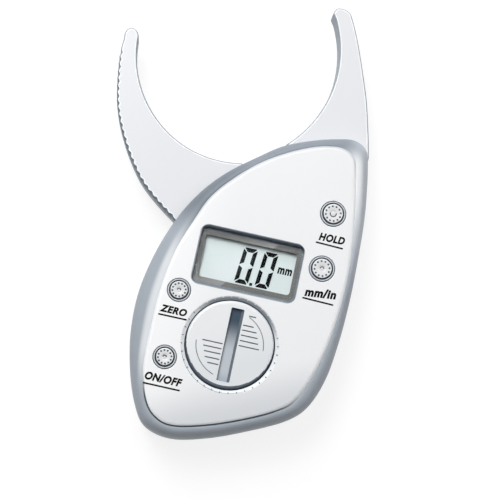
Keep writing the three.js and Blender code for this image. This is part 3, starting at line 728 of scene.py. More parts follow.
def glare_group() -> bpy.types.NodeTree:
    """Build the painted glare: a pale reflection on the left of a slanted line across the window.
    """
    takes = {"Colour": "Color", "Painted glare": "Color", "Amount": "Float"}
    takes |= {"Foot": "Vector", "Lean": "Float", "Width": "Float"}
    tree, nodes, inner, outer = begin_group(Group.GLARE, takes, {"Colour": "Color"})
    ends = {0: nodes.place(), 1: inner["Foot"]}
    off = nodes.add("ShaderNodeVectorMath", ends, operation="SUBTRACT")
    across = nodes.axes(off.outputs[0])
    side = nodes.sum("SUBTRACT", nodes.sum("MULTIPLY", across[1], inner["Lean"]), across[0])
    nearby = nodes.ramp(side, 0.0, GLARE_EDGE)
    fading = nodes.ramp(side, inner["Width"], GLARE_FADE)
    painted_glare = nodes.sum("MULTIPLY", nodes.sum("MULTIPLY", nearby, fading), inner["Amount"])
    nodes.feed(outer["Colour"], nodes.mix(painted_glare, inner["Colour"], inner["Painted glare"]))
    return tree


def band_group() -> bpy.types.NodeTree:
    """Build a share that rises along a direction, between two distances from the origin."""
    takes = {"Way": "Vector", "Near": "Float", "Far": "Float", "Share": "Float"}
    tree, nodes, inner, outer = begin_group(Group.BAND, takes, {"Share": "Float"})
    inputs = {0: nodes.place(), 1: inner["Way"]}
    along = nodes.add("ShaderNodeVectorMath", inputs, operation="DOT_PRODUCT").outputs["Value"]
    rise = nodes.ramp(along, inner["Near"], inner["Far"])
    nodes.feed(outer["Share"], nodes.sum("MULTIPLY", rise, inner["Share"]))
    return tree


BUILDERS = {
    Group.SURFACE: surface_group,
    Group.FLAKE: flake_group,
    Group.BRUSHED: brushed_group,
    Group.GLARE: glare_group,
    Group.BAND: band_group,
}


def use_group(nodes: Nodes, kind: Group, **values: object) -> Sequence[Socket]:
    """Place a shared effect in a material.

    Args:
        nodes: The material's nodes.
        kind: Which effect.
        **values: A value or a socket for each input.

    Returns:
        The effect's outputs.
    """
    tree = bpy.data.node_groups.get(kind.value) or BUILDERS[kind]()
    node = nodes.add("ShaderNodeGroup", node_tree=tree)
    for name, value in values.items():
        nodes.feed(node.inputs[name], value)
    return node.outputs


@dataclass(frozen=True)
class Finish:
    """A moulded plastic: a tint with a slow drift, a soft gloss and a fine grain."""

    name: str
    tint: Tint
    roughness: float = 0.45
    drift: float = 0.05
    pitch: float = 0.35
    relief: float = 0.06
    metallic: float = 0.0
    coat: float = 0.0
    gloss: float = 0.5

    def material(self) -> bpy.types.Material:
        """Build the material, or give the one that was built before."""
        made = bpy.data.materials.get(self.name)
        if made:
            return made
        made = bpy.data.materials.new(self.name)
        made.use_nodes = True
        made.diffuse_color = linear(self.tint)
        nodes = Nodes(made.node_tree)
        shader = made.node_tree.nodes["Principled BSDF"]
        shader.inputs["Metallic"].default_value = self.metallic
        shader.inputs["Coat Weight"].default_value = self.coat
        shader.inputs["Specular IOR Level"].default_value = self.gloss
        self.dress(nodes, shader.inputs)
        return made

    def bump(self, nodes: Nodes, sockets: Sequence[Socket], height: Socket, depth: float) -> None:
        """Give the surface a relief of a depth in millimetres."""
        inputs = {"Height": height, "Strength": RELIEF_STRENGTH, "Distance": depth * MM}
        nodes.feed(sockets["Normal"], nodes.add("ShaderNodeBump", inputs).outputs[0])

    def dress(self, nodes: Nodes, sockets: Sequence[Socket]) -> None:
        """Join the surface's nodes to the shader."""
        surface = self.surface(nodes)
        nodes.feed(sockets["Base Color"], surface["Colour"])
        nodes.feed(sockets["Roughness"], surface["Roughness"])
        self.bump(nodes, sockets, surface["Grain"], self.relief)

    def surface(self, nodes: Nodes) -> Sequence[Socket]:
        """Place the drift and the grain of a moulded surface."""
        values = {"Drift": self.drift, "Roughness": self.roughness, "Pitch": self.pitch}
        return use_group(nodes, Group.SURFACE, Colour=self.colour(nodes), **values)

    def colour(self, nodes: Nodes) -> object:
        """Give the tint that the surface starts from."""
        return linear(self.tint)


@dataclass(frozen=True)
class FlakePaint(Finish):
    """A silver paint with metal flakes under a thin clear coat."""

    flake: float = 0.12
    sparkle: float = 0.12

    def colour(self, nodes: Nodes) -> object:
        """Give the tint with its flakes."""
        values = {"Pitch": self.flake, "Sparkle": self.sparkle}
        return use_group(nodes, Group.FLAKE, Colour=linear(self.tint), **values)["Colour"]


@dataclass(frozen=True)
class Ramp:
    """A share that rises from 0 to 1 along a direction, between two distances."""

    way: tuple[float, float, float]
    near: float
    far: float


@dataclass(frozen=True)
class Band:
    """A second tone of a paint, laid on where all its ramps have risen."""

    tint: Tint
    ramps: tuple[Ramp, ...]


@dataclass(frozen=True)
class BandedPaint(FlakePaint):
    """A silver paint whose tone changes from place to place; its bands are painted light and
    shade.
    """

    bands: tuple[Band, ...] = ()

    def colour(self, nodes: Nodes) -> object:
        """Give the tint with its bands over it."""
        tone = super().colour(nodes)
        for band in self.bands:
            share: object = 1.0
            for ramp in band.ramps:
                values = {"Way": ramp.way, "Near": ramp.near, "Far": ramp.far, "Share": share}
                share = use_group(nodes, Group.BAND, **values)["Share"]
            tone = nodes.mix(share, tone, linear(band.tint))
        return tone


@dataclass(frozen=True)
class WindowTint(Finish):
    """A flat tone seen through the window, with the lens's glare painted over it as a pale
    reflection.
    """

    painted_glare: Tint = (255, 255, 255)
    amount: float = 0.2
    foot: tuple[float, float, float] = (1.0, -24.3, 0.0)
    lean: float = 0.91
    width: float = 19.0
    relief: float = 0.005
    gloss: float = 0.2

    def colour(self, nodes: Nodes) -> object:
        """Give the tint under its glare."""
        values = {"Colour": linear(self.tint), "Painted glare": linear(self.painted_glare), "Foot": self.foot}
        values |= {"Amount": self.amount, "Lean": self.lean, "Width": self.width}
        return use_group(nodes, Group.GLARE, **values)["Colour"]


@dataclass(frozen=True)
class BareMetal(Finish):
    """A brushed bare metal."""

    metallic: float = 1.0
    roughness: float = 0.3
    relief: float = 0.02

    def dress(self, nodes: Nodes, sockets: Sequence[Socket]) -> None:
        """Join the streaks to the shader."""
        values = {"Colour": linear(self.tint), "Roughness": self.roughness}
        brushed = use_group(nodes, Group.BRUSHED, **values)
        nodes.feed(sockets["Base Color"], brushed["Colour"])
        nodes.feed(sockets["Roughness"], brushed["Roughness"])
        self.bump(nodes, sockets, brushed["Streak"], self.relief)


@dataclass(frozen=True)
class ClearPane(Finish):
    """A clear pane, dulled against mirroring, that lets lamps through to what lies behind it."""

    index: float = 1.12

    def dress(self, nodes: Nodes, sockets: Sequence[Socket]) -> None:
        """Make the shader glass and let shadow rays past it."""
        sockets["Base Color"].default_value = linear(self.tint)
        sockets["Roughness"].default_value = self.roughness
        sockets["Transmission Weight"].default_value = 1.0
        sockets["IOR"].default_value = self.index
        self.bump(nodes, sockets, self.surface(nodes)["Grain"], self.relief)
        path = nodes.add("ShaderNodeLightPath").outputs["Is Shadow Ray"]
        through = nodes.add("ShaderNodeBsdfTransparent").outputs[0]
        shader = nodes.tree.nodes["Principled BSDF"].outputs[0]
        mixed = nodes.add("ShaderNodeMixShader", {0: path, 1: shader, 2: through})
        nodes.feed(nodes.tree.nodes["Material Output"].inputs["Surface"], mixed.outputs[0])


@dataclass(frozen=True)
class BoardLacquer(Finish):
    """A circuit board's green lacquer over its copper tracks."""

    track_tint: Tint = (46, 118, 70)
    track_scale: float = 0.5

    def colour(self, nodes: Nodes) -> object:
        """Give the lacquer, paler over the tracks."""
        inputs = {"Vector": nodes.place(), "Scale": self.track_scale}
        inputs |= {"Color1": linear(self.tint), "Color2": linear(self.tint)}
        inputs["Mortar"] = linear(self.track_tint)
        return nodes.add("ShaderNodeTexBrick", inputs).outputs["Color"]


# The directions that the bands run in
LEFT = (-1.0, 0.0, 0.0)
RIGHT = (1.0, 0.0, 0.0)
TO_JAWS = (0.0, 1.0, 0.0)
TO_FOOT = (0.0, -1.0, 0.0)
RISING = (0.0, 0.0, 1.0)
SINKING = (0.0, 0.0, -1.0)
UPPER_EDGE = Ramp((-0.5, 0.87, 0.0), -6.0, 5.0)
JAW_OUTSIDE = Ramp((-0.75, -0.66, 0.0), 15.0, 22.0)

# The rim's own blue-grey, with painted light and shade laid over it in bands
RIM_PAINTED_SHADING = BandedPaint(
    "rim_grey_painted_shading",
    (160, 168, 177),
    roughness=0.5,
    drift=0.04,
    gloss=0.4,
    bands=(
        # Painted light at the lower right, and painted shade on the side towards the jaws and at
        # the upper left
        Band((170, 178, 187), (Ramp((0.62, -0.78, 0.0), 36.0, 60.0),)),
        Band((136, 144, 154), (Ramp(TO_JAWS, -6.0, 8.0),)),
        Band((116, 124, 134), (Ramp(LEFT, 3.0, 15.0), Ramp(TO_JAWS, -20.0, -6.0))),
        # A painted highlight: the pale crest along the left side
        Band(
            (221, 225, 229),
            (
                Ramp(LEFT, 18.0, 27.0),
                Ramp(RISING, 20.6, 21.36),
                Ramp(TO_JAWS, -78.0, -58.0),
                Ramp(TO_FOOT, 10.0, 30.0),
            ),
        ),
        # Painted light on the upper right, and a painted highlight on its crest
        Band((190, 197, 205), (Ramp(RIGHT, 24.0, 33.0), Ramp(TO_JAWS, -30.0, -6.0))),
        Band(
            (242, 244, 246),
            (
                Ramp(RIGHT, 22.0, 30.0),
                Ramp(RISING, 20.0, 21.4),
                Ramp(TO_JAWS, -13.0, 12.0),
                Ramp(TO_FOOT, -26.0, -18.5),
            ),
        ),
    ),
)
# Painted shade: dark slate on the walls of grooves, holes and recesses, on the coin slot's side
# walls, in the door's engraved marks and along the outer strip of the window's print
GROOVE_PAINTED_SHADE = Finish("groove_painted_shade", (104, 114, 123), roughness=0.6, drift=0.08, gloss=0.3)
# Painted light and shade at the seam of plate and rim: pale where the groove would lie in shade, a
# painted shadow line along the bottom and painted shade on the upper edge
SEAM = BandedPaint(
    "seam_painted_shading",
    (242, 244, 246),
    roughness=0.5,
    bands=(
        Band((58, 68, 78), (Ramp((0.08, -1.0, 0.0), 65.0, 75.0),)),
        Band((204, 208, 213), (UPPER_EDGE,)),
    ),
)
PLATE = BandedPaint(
    "plate_silver_paint",
    (242, 243, 245),
    roughness=0.42,
    drift=0.015,
    sparkle=0.03,
    bands=(
        # The bright left side, the shaded foot and the shaded roll of the upper edge
        Band((250, 251, 252), (Ramp(LEFT, 6.0, 26.0),)),
        Band((214, 217, 221), (Ramp((0.4, -0.92, 0.0), 57.0, 74.0),)),
        Band((212, 215, 219), (UPPER_EDGE, Ramp(SINKING, -21.94, -21.78))),
    ),
)
COLLAR = Finish("collar_grey", (206, 211, 217), roughness=0.4, drift=0.02)
JAW_WHITE = Finish("jaw_white", (239, 240, 243), roughness=0.4, drift=0.02)
# Painted shade: the grey of the jaws' walls and of the outer steps of their round edges
JAW_WALL_PAINTED_SHADE = BandedPaint(
    "jaw_wall_painted_shade",
    (154, 163, 173),
    roughness=0.5,
    drift=0.03,
    bands=(
        # Painted shade in the scallops above the grip line, and painted light on the wall under it
        Band((108, 121, 133), (JAW_OUTSIDE, Ramp(RISING, 10.9, 11.3))),
        Band((164, 174, 184), (JAW_OUTSIDE, Ramp(SINKING, -11.3, -10.9))),
    ),
)
# A painted highlight along the top of the jaws' round edges
JAW_PAINTED_HIGHLIGHT = Finish("jaw_edge_painted_highlight", (251, 252, 253), roughness=0.4, drift=0.01)
CAP = FlakePaint("button_silver", (249, 250, 251), roughness=0.34, drift=0.03, sparkle=0.03)
# Painted shade: in the pits of the buttons' dots and curls, on their caps' round edge, widest at
# the lower side, and in the screws' cross recesses
DARK_PAINTED_SHADE = Finish("dark_painted_shade", (82, 92, 103), roughness=0.6, gloss=0.3)
PRINT = Finish("print_black", (6, 6, 8), roughness=0.6, drift=0.2, relief=0.01, gloss=0.1)
LENS = ClearPane("lens_clear", (252, 254, 254), roughness=0.03, relief=0.002, drift=0.0)
BORDER = WindowTint(
    "lens_border_taupe", (94, 93, 92), drift=0.02, painted_glare=(150, 149, 148), amount=0.5
)
LCD = WindowTint(
    "display_grey_green", (188, 196, 196), drift=0.01, painted_glare=(200, 204, 207), amount=0.6
)
SEGMENT = WindowTint(
    "display_segment", (4, 4, 5), drift=0.1, gloss=0.05, painted_glare=(150, 158, 162), amount=0.03
)
STEEL = BareMetal("steel", (196, 198, 202))
SPRING = BareMetal("spring_wire", (170, 172, 176), roughness=0.36)
SCREW = BareMetal("screw_steel", (176, 179, 184), roughness=0.34)
BRASS = BareMetal("brass", (205, 176, 104), roughness=0.34)
CONTACT = BareMetal("contact_metal", (206, 202, 186), roughness=0.28)
CAN = BareMetal("cell_can", (212, 214, 216), roughness=0.22)
CRYSTAL = BareMetal("crystal_can", (205, 206, 208), roughness=0.26)
SWITCH = BareMetal("switch_metal", (196, 198, 202), roughness=0.32)
COPPER = Finish("encoder_copper", (176, 110, 72), roughness=0.35, metallic=0.8)
NYLON = Finish("nylon", (228, 226, 216), roughness=0.5, coat=0.05)
CHIP = Finish("chip_black", (26, 27, 29), roughness=0.55, drift=0.15)
BOARD = BoardLacquer("circuit_board", (24, 84, 52), roughness=0.35, coat=0.3)
RUBBER = Finish("conductive_rubber", (38, 39, 42), roughness=0.75, drift=0.2)
SEAL = Finish("seal_rubber", (30, 31, 33), roughness=0.8, drift=0.2)
PLUNGER = Finish("plunger_black", (32, 33, 35), roughness=0.5, drift=0.1)

INNER_FINISHES = {
    "pivot_pin": STEEL,
    "thrust_washer": NYLON,
    "pivot_bush": BRASS,
    "retaining_ring": STEEL,
    "torsion_spring": SPRING,
    "encoder_rotor": COPPER,
    "main_board": BOARD,
    "controller_chip": CHIP,
    "clock_crystal": CRYSTAL,
    "contact_strip_upper": RUBBER,
    "contact_strip_lower": RUBBER,
    "door_seal": SEAL,
    "battery_cell": CAN,
    "battery_contact_negative": CONTACT,
    "battery_contact_positive": CONTACT,
    "board_screw_1": SCREW,
    "board_screw_2": SCREW,
    "board_screw_3": SCREW,
}


# Casing


class PlateFace(IntEnum):
    """The finish numbers of the face plate."""

    MAIN = 0
    SHADE = 1
    RECESS = 2
    ROLL = 3
    FLARE = 4
    COLLAR = 5


@dataclass
class Casing:
    """What the casing's two halves and its face plate share."""

    width: float = 74.0
    length: float = 117.6
    parting: float = 8.0
    seam: float = 0.3
    bevel: float = 0.25
    shoulder: float = 14.8
    front_wall: float = 1.5
    slot_bottom: float = 5.9
    slot_top: float = 14.3
    slot_end: float = 21.99
    jaw_gap: float = 0.3
    stop_gap: float = 0.85
    stop_start: float = 0.75
    stop_step: float = 0.05
    stop_count: int = 6
    hub_step: float = 10.0
    hub_count: int = 8
    rim_shares: tuple[Point, ...] = (
        (0.514, -0.122), (0.507, 0.009), (0.487, 0.119), (0.464, 0.197), (0.437, 0.23),
        (0.381, 0.244), (0.308, 0.237), (0.192, 0.216), (0.054, 0.179), (-0.065, 0.124),
        (-0.184, 0.062), (-0.284, -0.01), (-0.365, -0.098), (-0.432, -0.213), (-0.472, -0.344),
        (-0.468, -0.468), (-0.43, -0.582), (-0.376, -0.673), (-0.308, -0.731), (-0.177, -0.75),
        (-0.007, -0.726), (0.169, -0.682), (0.331, -0.631), (0.419, -0.577), (0.476, -0.485),
        (0.503, -0.366), (0.514, -0.242),
    )
    plate_shares: tuple[Point, ...] = (
        (0.47, -0.122), (0.449, 0), (0.422, 0.102), (0.403, 0.162), (0.376, 0.187),
        (0.332, 0.199), (0.278, 0.198), (0.189, 0.183), (0.073, 0.148), (-0.041, 0.101),
        (-0.149, 0.037), (-0.238, -0.034), (-0.292, -0.116), (-0.345, -0.217), (-0.374, -0.34),
        (-0.378, -0.463), (-0.372, -0.565), (-0.338, -0.648), (-0.281, -0.697), (-0.189, -0.716),
        (-0.034, -0.695), (0.142, -0.653), (0.278, -0.609), (0.349, -0.568), (0.408, -0.481),
        (0.449, -0.37), (0.47, -0.247),
    )
    rim: Outline = field(init=False)
    plate: Outline = field(init=False)
    slot: Outline = field(init=False)

    def __post_init__(self) -> None:
        """Work out the outlines that the pieces share."""
        self.rim = self.smooth(self.rim_shares)
        self.plate = self.smooth(self.plate_shares)
        jaws = Jaws()
        shares = [self.stop_start + self.stop_step * i for i in range(self.stop_count)]
        stops = jaws.moving_edge().along(shares, [self.stop_gap] * self.stop_count)
        hub_room = jaws.hub_radius + self.jaw_gap
        turns = [jaws.hub_start + self.hub_step * i for i in range(self.hub_count)]
        root = jaws.root_right + self.jaw_gap
        self.slot = Outline.of(
            [
                *stops,
                *(polar((0, 0), hub_room, turn) for turn in turns),
                (root, jaws.root_bottom - self.jaw_gap),
                (root, self.slot_end),
                (self.width, self.slot_end),
                (self.width, self.length),
                (-self.width, self.length),
                (-self.width, stops[0][1]),
            ]
        )

    def smooth(self, shares: Iterable[Point]) -> Outline:
        """Draw a smooth closed outline through shares of the casing's size."""
        points = [(x * self.width, y * self.length) for x, y in shares]
        return Outline.of(Curve(points, closed=True).sample(SPAN_STEPS))

    def slot_tool(self, bottom: float, top: float) -> Solid:
        """Make the space that the jaws need, between two heights."""
        return prism(self.slot, bottom, top)


@dataclass
class RearCover:
    """The lower half of the casing: a tray with round edges, screw bosses and recesses."""

    casing: Casing
    edge: float = 3.0
    edge_steps: int = 12
    floor: float = 2.0
    floor_bevel: float = 0.8
    wall: float = 2.6
    lip_inset: float = 1.7
    lip_top: float = 9.5
    lip_bevel: float = 0.2
    boss_radius: float = 3.9
    boss_root: float = 0.5
    boss_top: float = 9.7
    head_seat: float = 5.0
    recess_radius: float = 2.75
    hole_radius: float = 1.6
    lead_in: float = 0.35

    def build(self) -> None:
        """Build the cover with its bosses and screw recesses."""
        case = self.casing
        top = case.parting
        rings = []
        for turn in quarter_turns(self.edge_steps):
            inset = self.edge * (1 - math.sin(turn))
            rings.append(Ring(case.rim.inset(inset), self.edge * (1 - math.cos(turn))))
        steps = (
            (0.0, top - case.bevel),
            (case.bevel, top),
            (self.lip_inset, top),
            (self.lip_inset, self.lip_top - self.lip_bevel),
            (self.lip_inset + self.lip_bevel, self.lip_top),
            (self.wall, self.lip_top),
            (self.wall, self.floor + self.floor_bevel),
            (self.wall + self.floor_bevel, self.floor),
        )
        rings += [Ring(case.rim.inset(inset), height) for inset, height in steps]
        solid = Solid().stack(rings)
        solid.carve(case.slot_tool(case.slot_bottom, self.lip_top + OVERSHOOT))
        foot = self.floor - self.boss_root
        for number in CASE_SCREWS:
            boss_top = case.slot_bottom if number in JAW_SCREWS else self.boss_top
            boss = bar(CaseScrew(number).room.centre, self.boss_radius, foot, boss_top)
            solid.carve(boss, Cut.JOIN)
        for number in CASE_SCREWS:
            solid.carve(self.screw_recess(CaseScrew(number).room.centre))
        settle(solid, "rear_cover_shell", "casing", "rim_grey", [RIM_PAINTED_SHADING, GROOVE_PAINTED_SHADE], ["rear_cover"])

    def screw_recess(self, spot: Point) -> Solid:
        """Make the tool for one screw's recess and hole, with a lead-in at its mouth."""
        mouth = self.recess_radius + self.lead_in
        end = self.boss_top + OVERSHOOT
        profile = [
            (0, -OVERSHOOT),
            (mouth + OVERSHOOT, -OVERSHOOT),
            (self.recess_radius, self.lead_in),
            (self.recess_radius, self.head_seat),
            (self.hole_radius, self.head_seat),
            (self.hole_radius, end),
            (0, end),
        ]
        tool = turned(profile, spot, BAR_STEPS)
        # The recess's walls past the lead-in take the groove's painted shade
        return tool.paint(Face.SHADE, lambda at: at.z > self.lead_in)


@dataclass
class FrontHousing:
    """The blue-grey rim round the face, with the deck that carries plate, lens and buttons."""

    casing: Casing
    deck_top: float = 19.95
    deck_bottom: float = 18.75
    rim_top: float = 21.35
    crest_out: float = 0.3
    dome_steps: int = 14
    lip_in: float = 0.12
    lip_out: float = 0.05
    lip_drop: float = 0.03
    lip_depth: float = 0.12
    window: Point = (32.8, 15.1)
    window_corner: float = 1.2
    throat: float = 12.3
    well_radius: float = 14.6
    well_bottom: float = 13.9
    well_root: float = 0.4

    def build(self) -> None:
        """Build the housing."""
        case = self.casing
        crest = case.plate.inset(-self.crest_out)
        bottom = case.parting + case.seam
        outer = [Ring(case.rim.inset(case.bevel), bottom), Ring(case.rim, bottom + case.bevel)]
        for turn in quarter_turns(self.dome_steps):
            height = case.shoulder + (self.rim_top - case.shoulder) * math.sin(turn)
            outer.append(Ring(case.rim.towards(crest, 1 - math.cos(turn)), height))
        lip = case.plate.inset(self.lip_in)
        outer.append(Ring(case.plate.inset(-self.lip_out), self.rim_top - self.lip_drop))
        # The lip's groove between rim and plate takes the seam's painted light and shade
        outer.append(Ring(lip, self.rim_top - self.lip_depth, Face.SEAM))
        outer.append(Ring(lip, self.deck_top, Face.SEAM))
        within = case.plate.inset(case.front_wall)
        skirt = case.rim.inset(case.front_wall)
        inner = [Ring(within.towards(skirt, share), height) for share, height in self.inner_dome()]
        inner.append(Ring(skirt, bottom))
        solid = Solid()
        outer_foot, deck = solid.skin(outer)
        solid.fill(deck, finish=Face.SHADE)
        ceiling, inner_foot = solid.skin(inner)
        solid.fill(ceiling)
        solid.fill(outer_foot, inner_foot)
        solid.carve(case.slot_tool(bottom - OVERSHOOT, case.slot_top))
        door = Extent.of("battery_door").centre
        well_top = self.deck_bottom + self.well_root
        well = [
            (self.throat, well_top),
            (self.throat, self.well_bottom),
            (self.well_radius, self.well_bottom),
            (self.well_radius, well_top),
        ]
        solid.carve(turned(well, door), Cut.JOIN)
        over = (self.deck_bottom - OVERSHOOT, self.deck_top + OVERSHOOT)
        solid.carve(bar(door, self.throat, *over, ROUND_STEPS))
        lens = Extent.of("display_lens").centre
        window = Outline.rounded(lens, *self.window, self.window_corner)
        solid.carve(prism(window, *over, Face.SHADE))
        for button in PushButton.all():
            solid.carve(bar(button.spot, button.hole, *over))
        finishes = [RIM_PAINTED_SHADING, GROOVE_PAINTED_SHADE, SEAM]
        settle(solid, "front_housing_shell", "casing", "rim_grey", finishes, ["front_housing"])

    def inner_dome(self) -> list[Point]:
        """Give the inside of the dome as shares of the way out and heights."""
        foot = self.casing.shoulder
        rise = self.deck_bottom - foot
        return [(math.sin(turn), foot + rise * math.cos(turn)) for turn in quarter_turns()]


@dataclass
class FacePlate:
    """The silver face with its window, button collars and the recess of the battery door."""

    casing: Casing
    edge_inset: float = 0.2
    foot_bevel: float = 0.15
    bottom: float = 20.15
    top: float = 21.95
    lip_under: float = 0.01
    lip_over: float = 0.04
    roll_in: float = 1.25
    roll_steps: int = 10
    painted_rolls: int = 5
    flat_margin: float = 0.08
    overlap: float = 0.05
    flare: float = 1.0
    flare_end: float = 1.25
    flare_side: float = 0.7
    flare_corner: float = 3.2
    flare_lead: float = 0.06
    plain_flares: int = 2
    lens_gap: float = 0.2
    lens_corner: float = 2.2
    recess_mouth: float = 16.75
    recess_foot: float = 15.58
    recess_drop: float = 0.65
    collar_width: float = 0.75
    collar_rise: float = 0.25
    groove: float = 0.2
    ticks: int = 36
    tick_ends: Point = (0.25, 0.6)
    tick_width: float = 0.34
    tick_heights: tuple[Point, ...] = ((0.0, -0.4), (0.0, 0.25), (0.07, 0.33))

    def build(self) -> None:
        """Build the plate and the index ticks round the door."""
        solid = Solid()
        edge = self.casing.plate.inset(self.edge_inset)
        rim = FrontHousing(self.casing).rim_top
        plate = self.casing.plate
        rings = [
            Ring(edge.inset(self.foot_bevel), self.bottom),
            Ring(edge, self.bottom + self.foot_bevel, PlateFace.ROLL),
            Ring(edge, rim, PlateFace.ROLL),
            Ring(plate.inset(-self.overlap), rim + self.lip_under, PlateFace.ROLL),
        ]
        for step in range(self.roll_steps + 1):
            share = step / self.roll_steps
            inset = self.roll_in * share - self.overlap * (1 - share)
            height = self.top - (self.top - rim - self.lip_over) * (1 - share) ** 2
            # The first steps of the roll take the seam's painted light and shade
            finish = PlateFace.ROLL if step < self.painted_rolls else PlateFace.MAIN
            rings.append(Ring(plate.inset(inset), height, finish))
        rings.append(Ring(plate.inset(self.roll_in + self.flat_margin), self.top))
        below, above = solid.skin(rings)
        tops, bottoms = [above], [below]
        for hole in (self.window(), self.recess(), *map(self.collar, PushButton.all())):
            first, last = solid.skin(hole)
            tops.append(first)
            bottoms.append(last)
        solid.fill(*tops)
        solid.fill(*bottoms)
        finishes = [PLATE, GROOVE_PAINTED_SHADE, self.recess_finish(), SEAM, self.flare_finish(), COLLAR]
        settle(solid, "face_plate_panel", "casing", "satin_silver", finishes, ["face_plate"])
        ticks = self.index_ticks()
        settle(ticks, "door_index_ticks", "casing", "satin_silver", [self.tick_finish()])

    def window(self) -> list[Ring]:
        """Give the display opening: a flare that rolls from the face down to the lens."""
        lens, pane = Extent.of("display_lens"), Display().room()
        wide = lens.size[0] + 2 * (self.lens_gap + self.flare_side)
        upper = pane.high.y + self.lens_gap + self.flare_end
        lower = lens.low.y - self.lens_gap - self.flare_end
        middle = (lens.centre[0], (upper + lower) / 2)
        mouth = Outline.rounded(middle, wide, upper - lower, self.flare_corner)
        wide, long = (side + 2 * self.lens_gap for side in pane.size)
        foot = Outline.rounded(pane.centre, wide, long, self.lens_corner)
        rings = [Ring(foot.towards(mouth, 1 + self.flare_lead), self.top)]
        for step, turn in enumerate(quarter_turns()):
            height = self.top - self.flare * (1 - math.cos(turn))
            finish = PlateFace.MAIN if step < self.plain_flares else PlateFace.FLARE
            rings.append(Ring(foot.towards(mouth, 1 - math.sin(turn)), height, finish))
        rings.append(Ring(foot, self.bottom, PlateFace.SHADE))
        return rings

    def recess(self) -> list[Ring]:
        """Give the sloping recess round the battery door."""
        door = Extent.of("battery_door").centre
        foot = self.top - self.recess_drop
        steps = (
            (self.recess_mouth + 0.3, self.top, PlateFace.MAIN),
            (self.recess_mouth + 0.22, self.top, PlateFace.MAIN),
            (self.recess_mouth + 0.08, self.top - 0.03, PlateFace.MAIN),
            (self.recess_mouth - 0.03, self.top - 0.12, PlateFace.RECESS),
            (self.recess_foot + 0.1, foot + 0.08, PlateFace.RECESS),
            (self.recess_foot, foot, PlateFace.SHADE),
            (self.recess_foot, self.bottom, PlateFace.SHADE),
        )
        return [Ring(Outline.circle(door, r, FINE_STEPS), z, finish) for r, z, finish in steps]

    def recess_finish(self) -> Finish:
        """Give the recess's slope: painted shade on its side under the display, pale at its lower
        side, with a grey line along the mouth at the lower left.
        """
        x, y = Extent.of("battery_door").centre
        slope = Ramp(SINKING, -self.top, 0.35 - self.top)
        shade = Band((136, 145, 154), (Ramp((0.12, 0.99, 0.0), y + 6.5, y + 13.5), slope))
        reach = -0.35 * x - 0.94 * y
        brim = Ramp(RISING, self.top - 0.22, self.top - 0.12)
        foot = Ramp((-0.35, -0.94, 0.0), reach + 8.0, reach + 13.0)
        line = Band((150, 158, 166), (foot, brim))
        return BandedPaint("recess_painted_shade", (234, 237, 240), bands=(shade, line))

    def tick_finish(self) -> Finish:
        """Give the index ticks, with a painted highlight where they stand in the recess's painted
        shade, and painted shade elsewhere.
        """
        y = Extent.of("battery_door").centre[1]
        pale = Band((226, 230, 234), (Ramp((0.12, 0.99, 0.0), y + 8.0, y + 11.0),))
        return BandedPaint("tick_painted_light_and_shade", (122, 130, 139), bands=(pale,))

    def flare_finish(self) -> Finish:
        """Give the display's flare in painted shade: grey, dark along its upper side and mid grey
        along the lower.
        """
        lens, pane = Extent.of("display_lens"), Display().room()
        deep = Ramp(SINKING, 0.005 - self.top, 0.12 - self.top)
        upper = Band((72, 82, 94), (Ramp(TO_JAWS, pane.high.y - 1.6, pane.high.y - 0.2), deep))
        lower = Band((146, 155, 164), (Ramp(TO_FOOT, -lens.low.y - 1.2, -lens.low.y),))
        return BandedPaint("flare_painted_shade", (186, 192, 198), bands=(upper, lower))

    def collar(self, button: PushButton) -> list[Ring]:
        """Give a button's opening: a groove, a raised collar and the hole."""
        outer = button.hole + self.collar_width
        crest = self.top + self.collar_rise
        steps = (
            (outer + 0.2, self.top, PlateFace.MAIN),
            (outer + 0.1, self.top, PlateFace.MAIN),
            (outer, self.top - 0.04, PlateFace.MAIN),
            (outer - 0.05, self.top - self.groove, PlateFace.SHADE),
            (outer - 0.3, self.top - self.groove, PlateFace.SHADE),
            (outer - 0.35, self.top, PlateFace.SHADE),
            (outer - 0.37, crest - 0.06, PlateFace.COLLAR),
            (outer - 0.42, crest, PlateFace.COLLAR),
            (button.hole + 0.08, crest, PlateFace.COLLAR),
            (button.hole, crest - 0.08, PlateFace.COLLAR),
            (button.hole, self.top - 0.3, PlateFace.SHADE),
            (button.hole, self.bottom, PlateFace.SHADE),
        )
        circles = [Outline.circle(button.spot, radius, BUTTON_STEPS) for radius, _, _ in steps]
        return [Ring(circle, z, finish) for circle, (_, z, finish) in zip(circles, steps)]

    def index_ticks(self) -> Solid:
        """Make the small ribs that stand on the slope round the door."""
        door = Extent.of("battery_door").centre
        middle = (self.recess_mouth + self.recess_foot) / 2
        slope = self.top - self.recess_drop / 2
        ticks = Solid()
        for i in range(self.ticks):
            turn = 360 * i / self.ticks
            line = [polar(door, middle + reach, turn) for reach in self.tick_ends]
            stroke = Outline.ribbon(line, self.tick_width)
            rings = [Ring(stroke.inset(inset), slope + rise) for inset, rise in self.tick_heights]
            ticks.add(Solid().stack(rings))
        return ticks


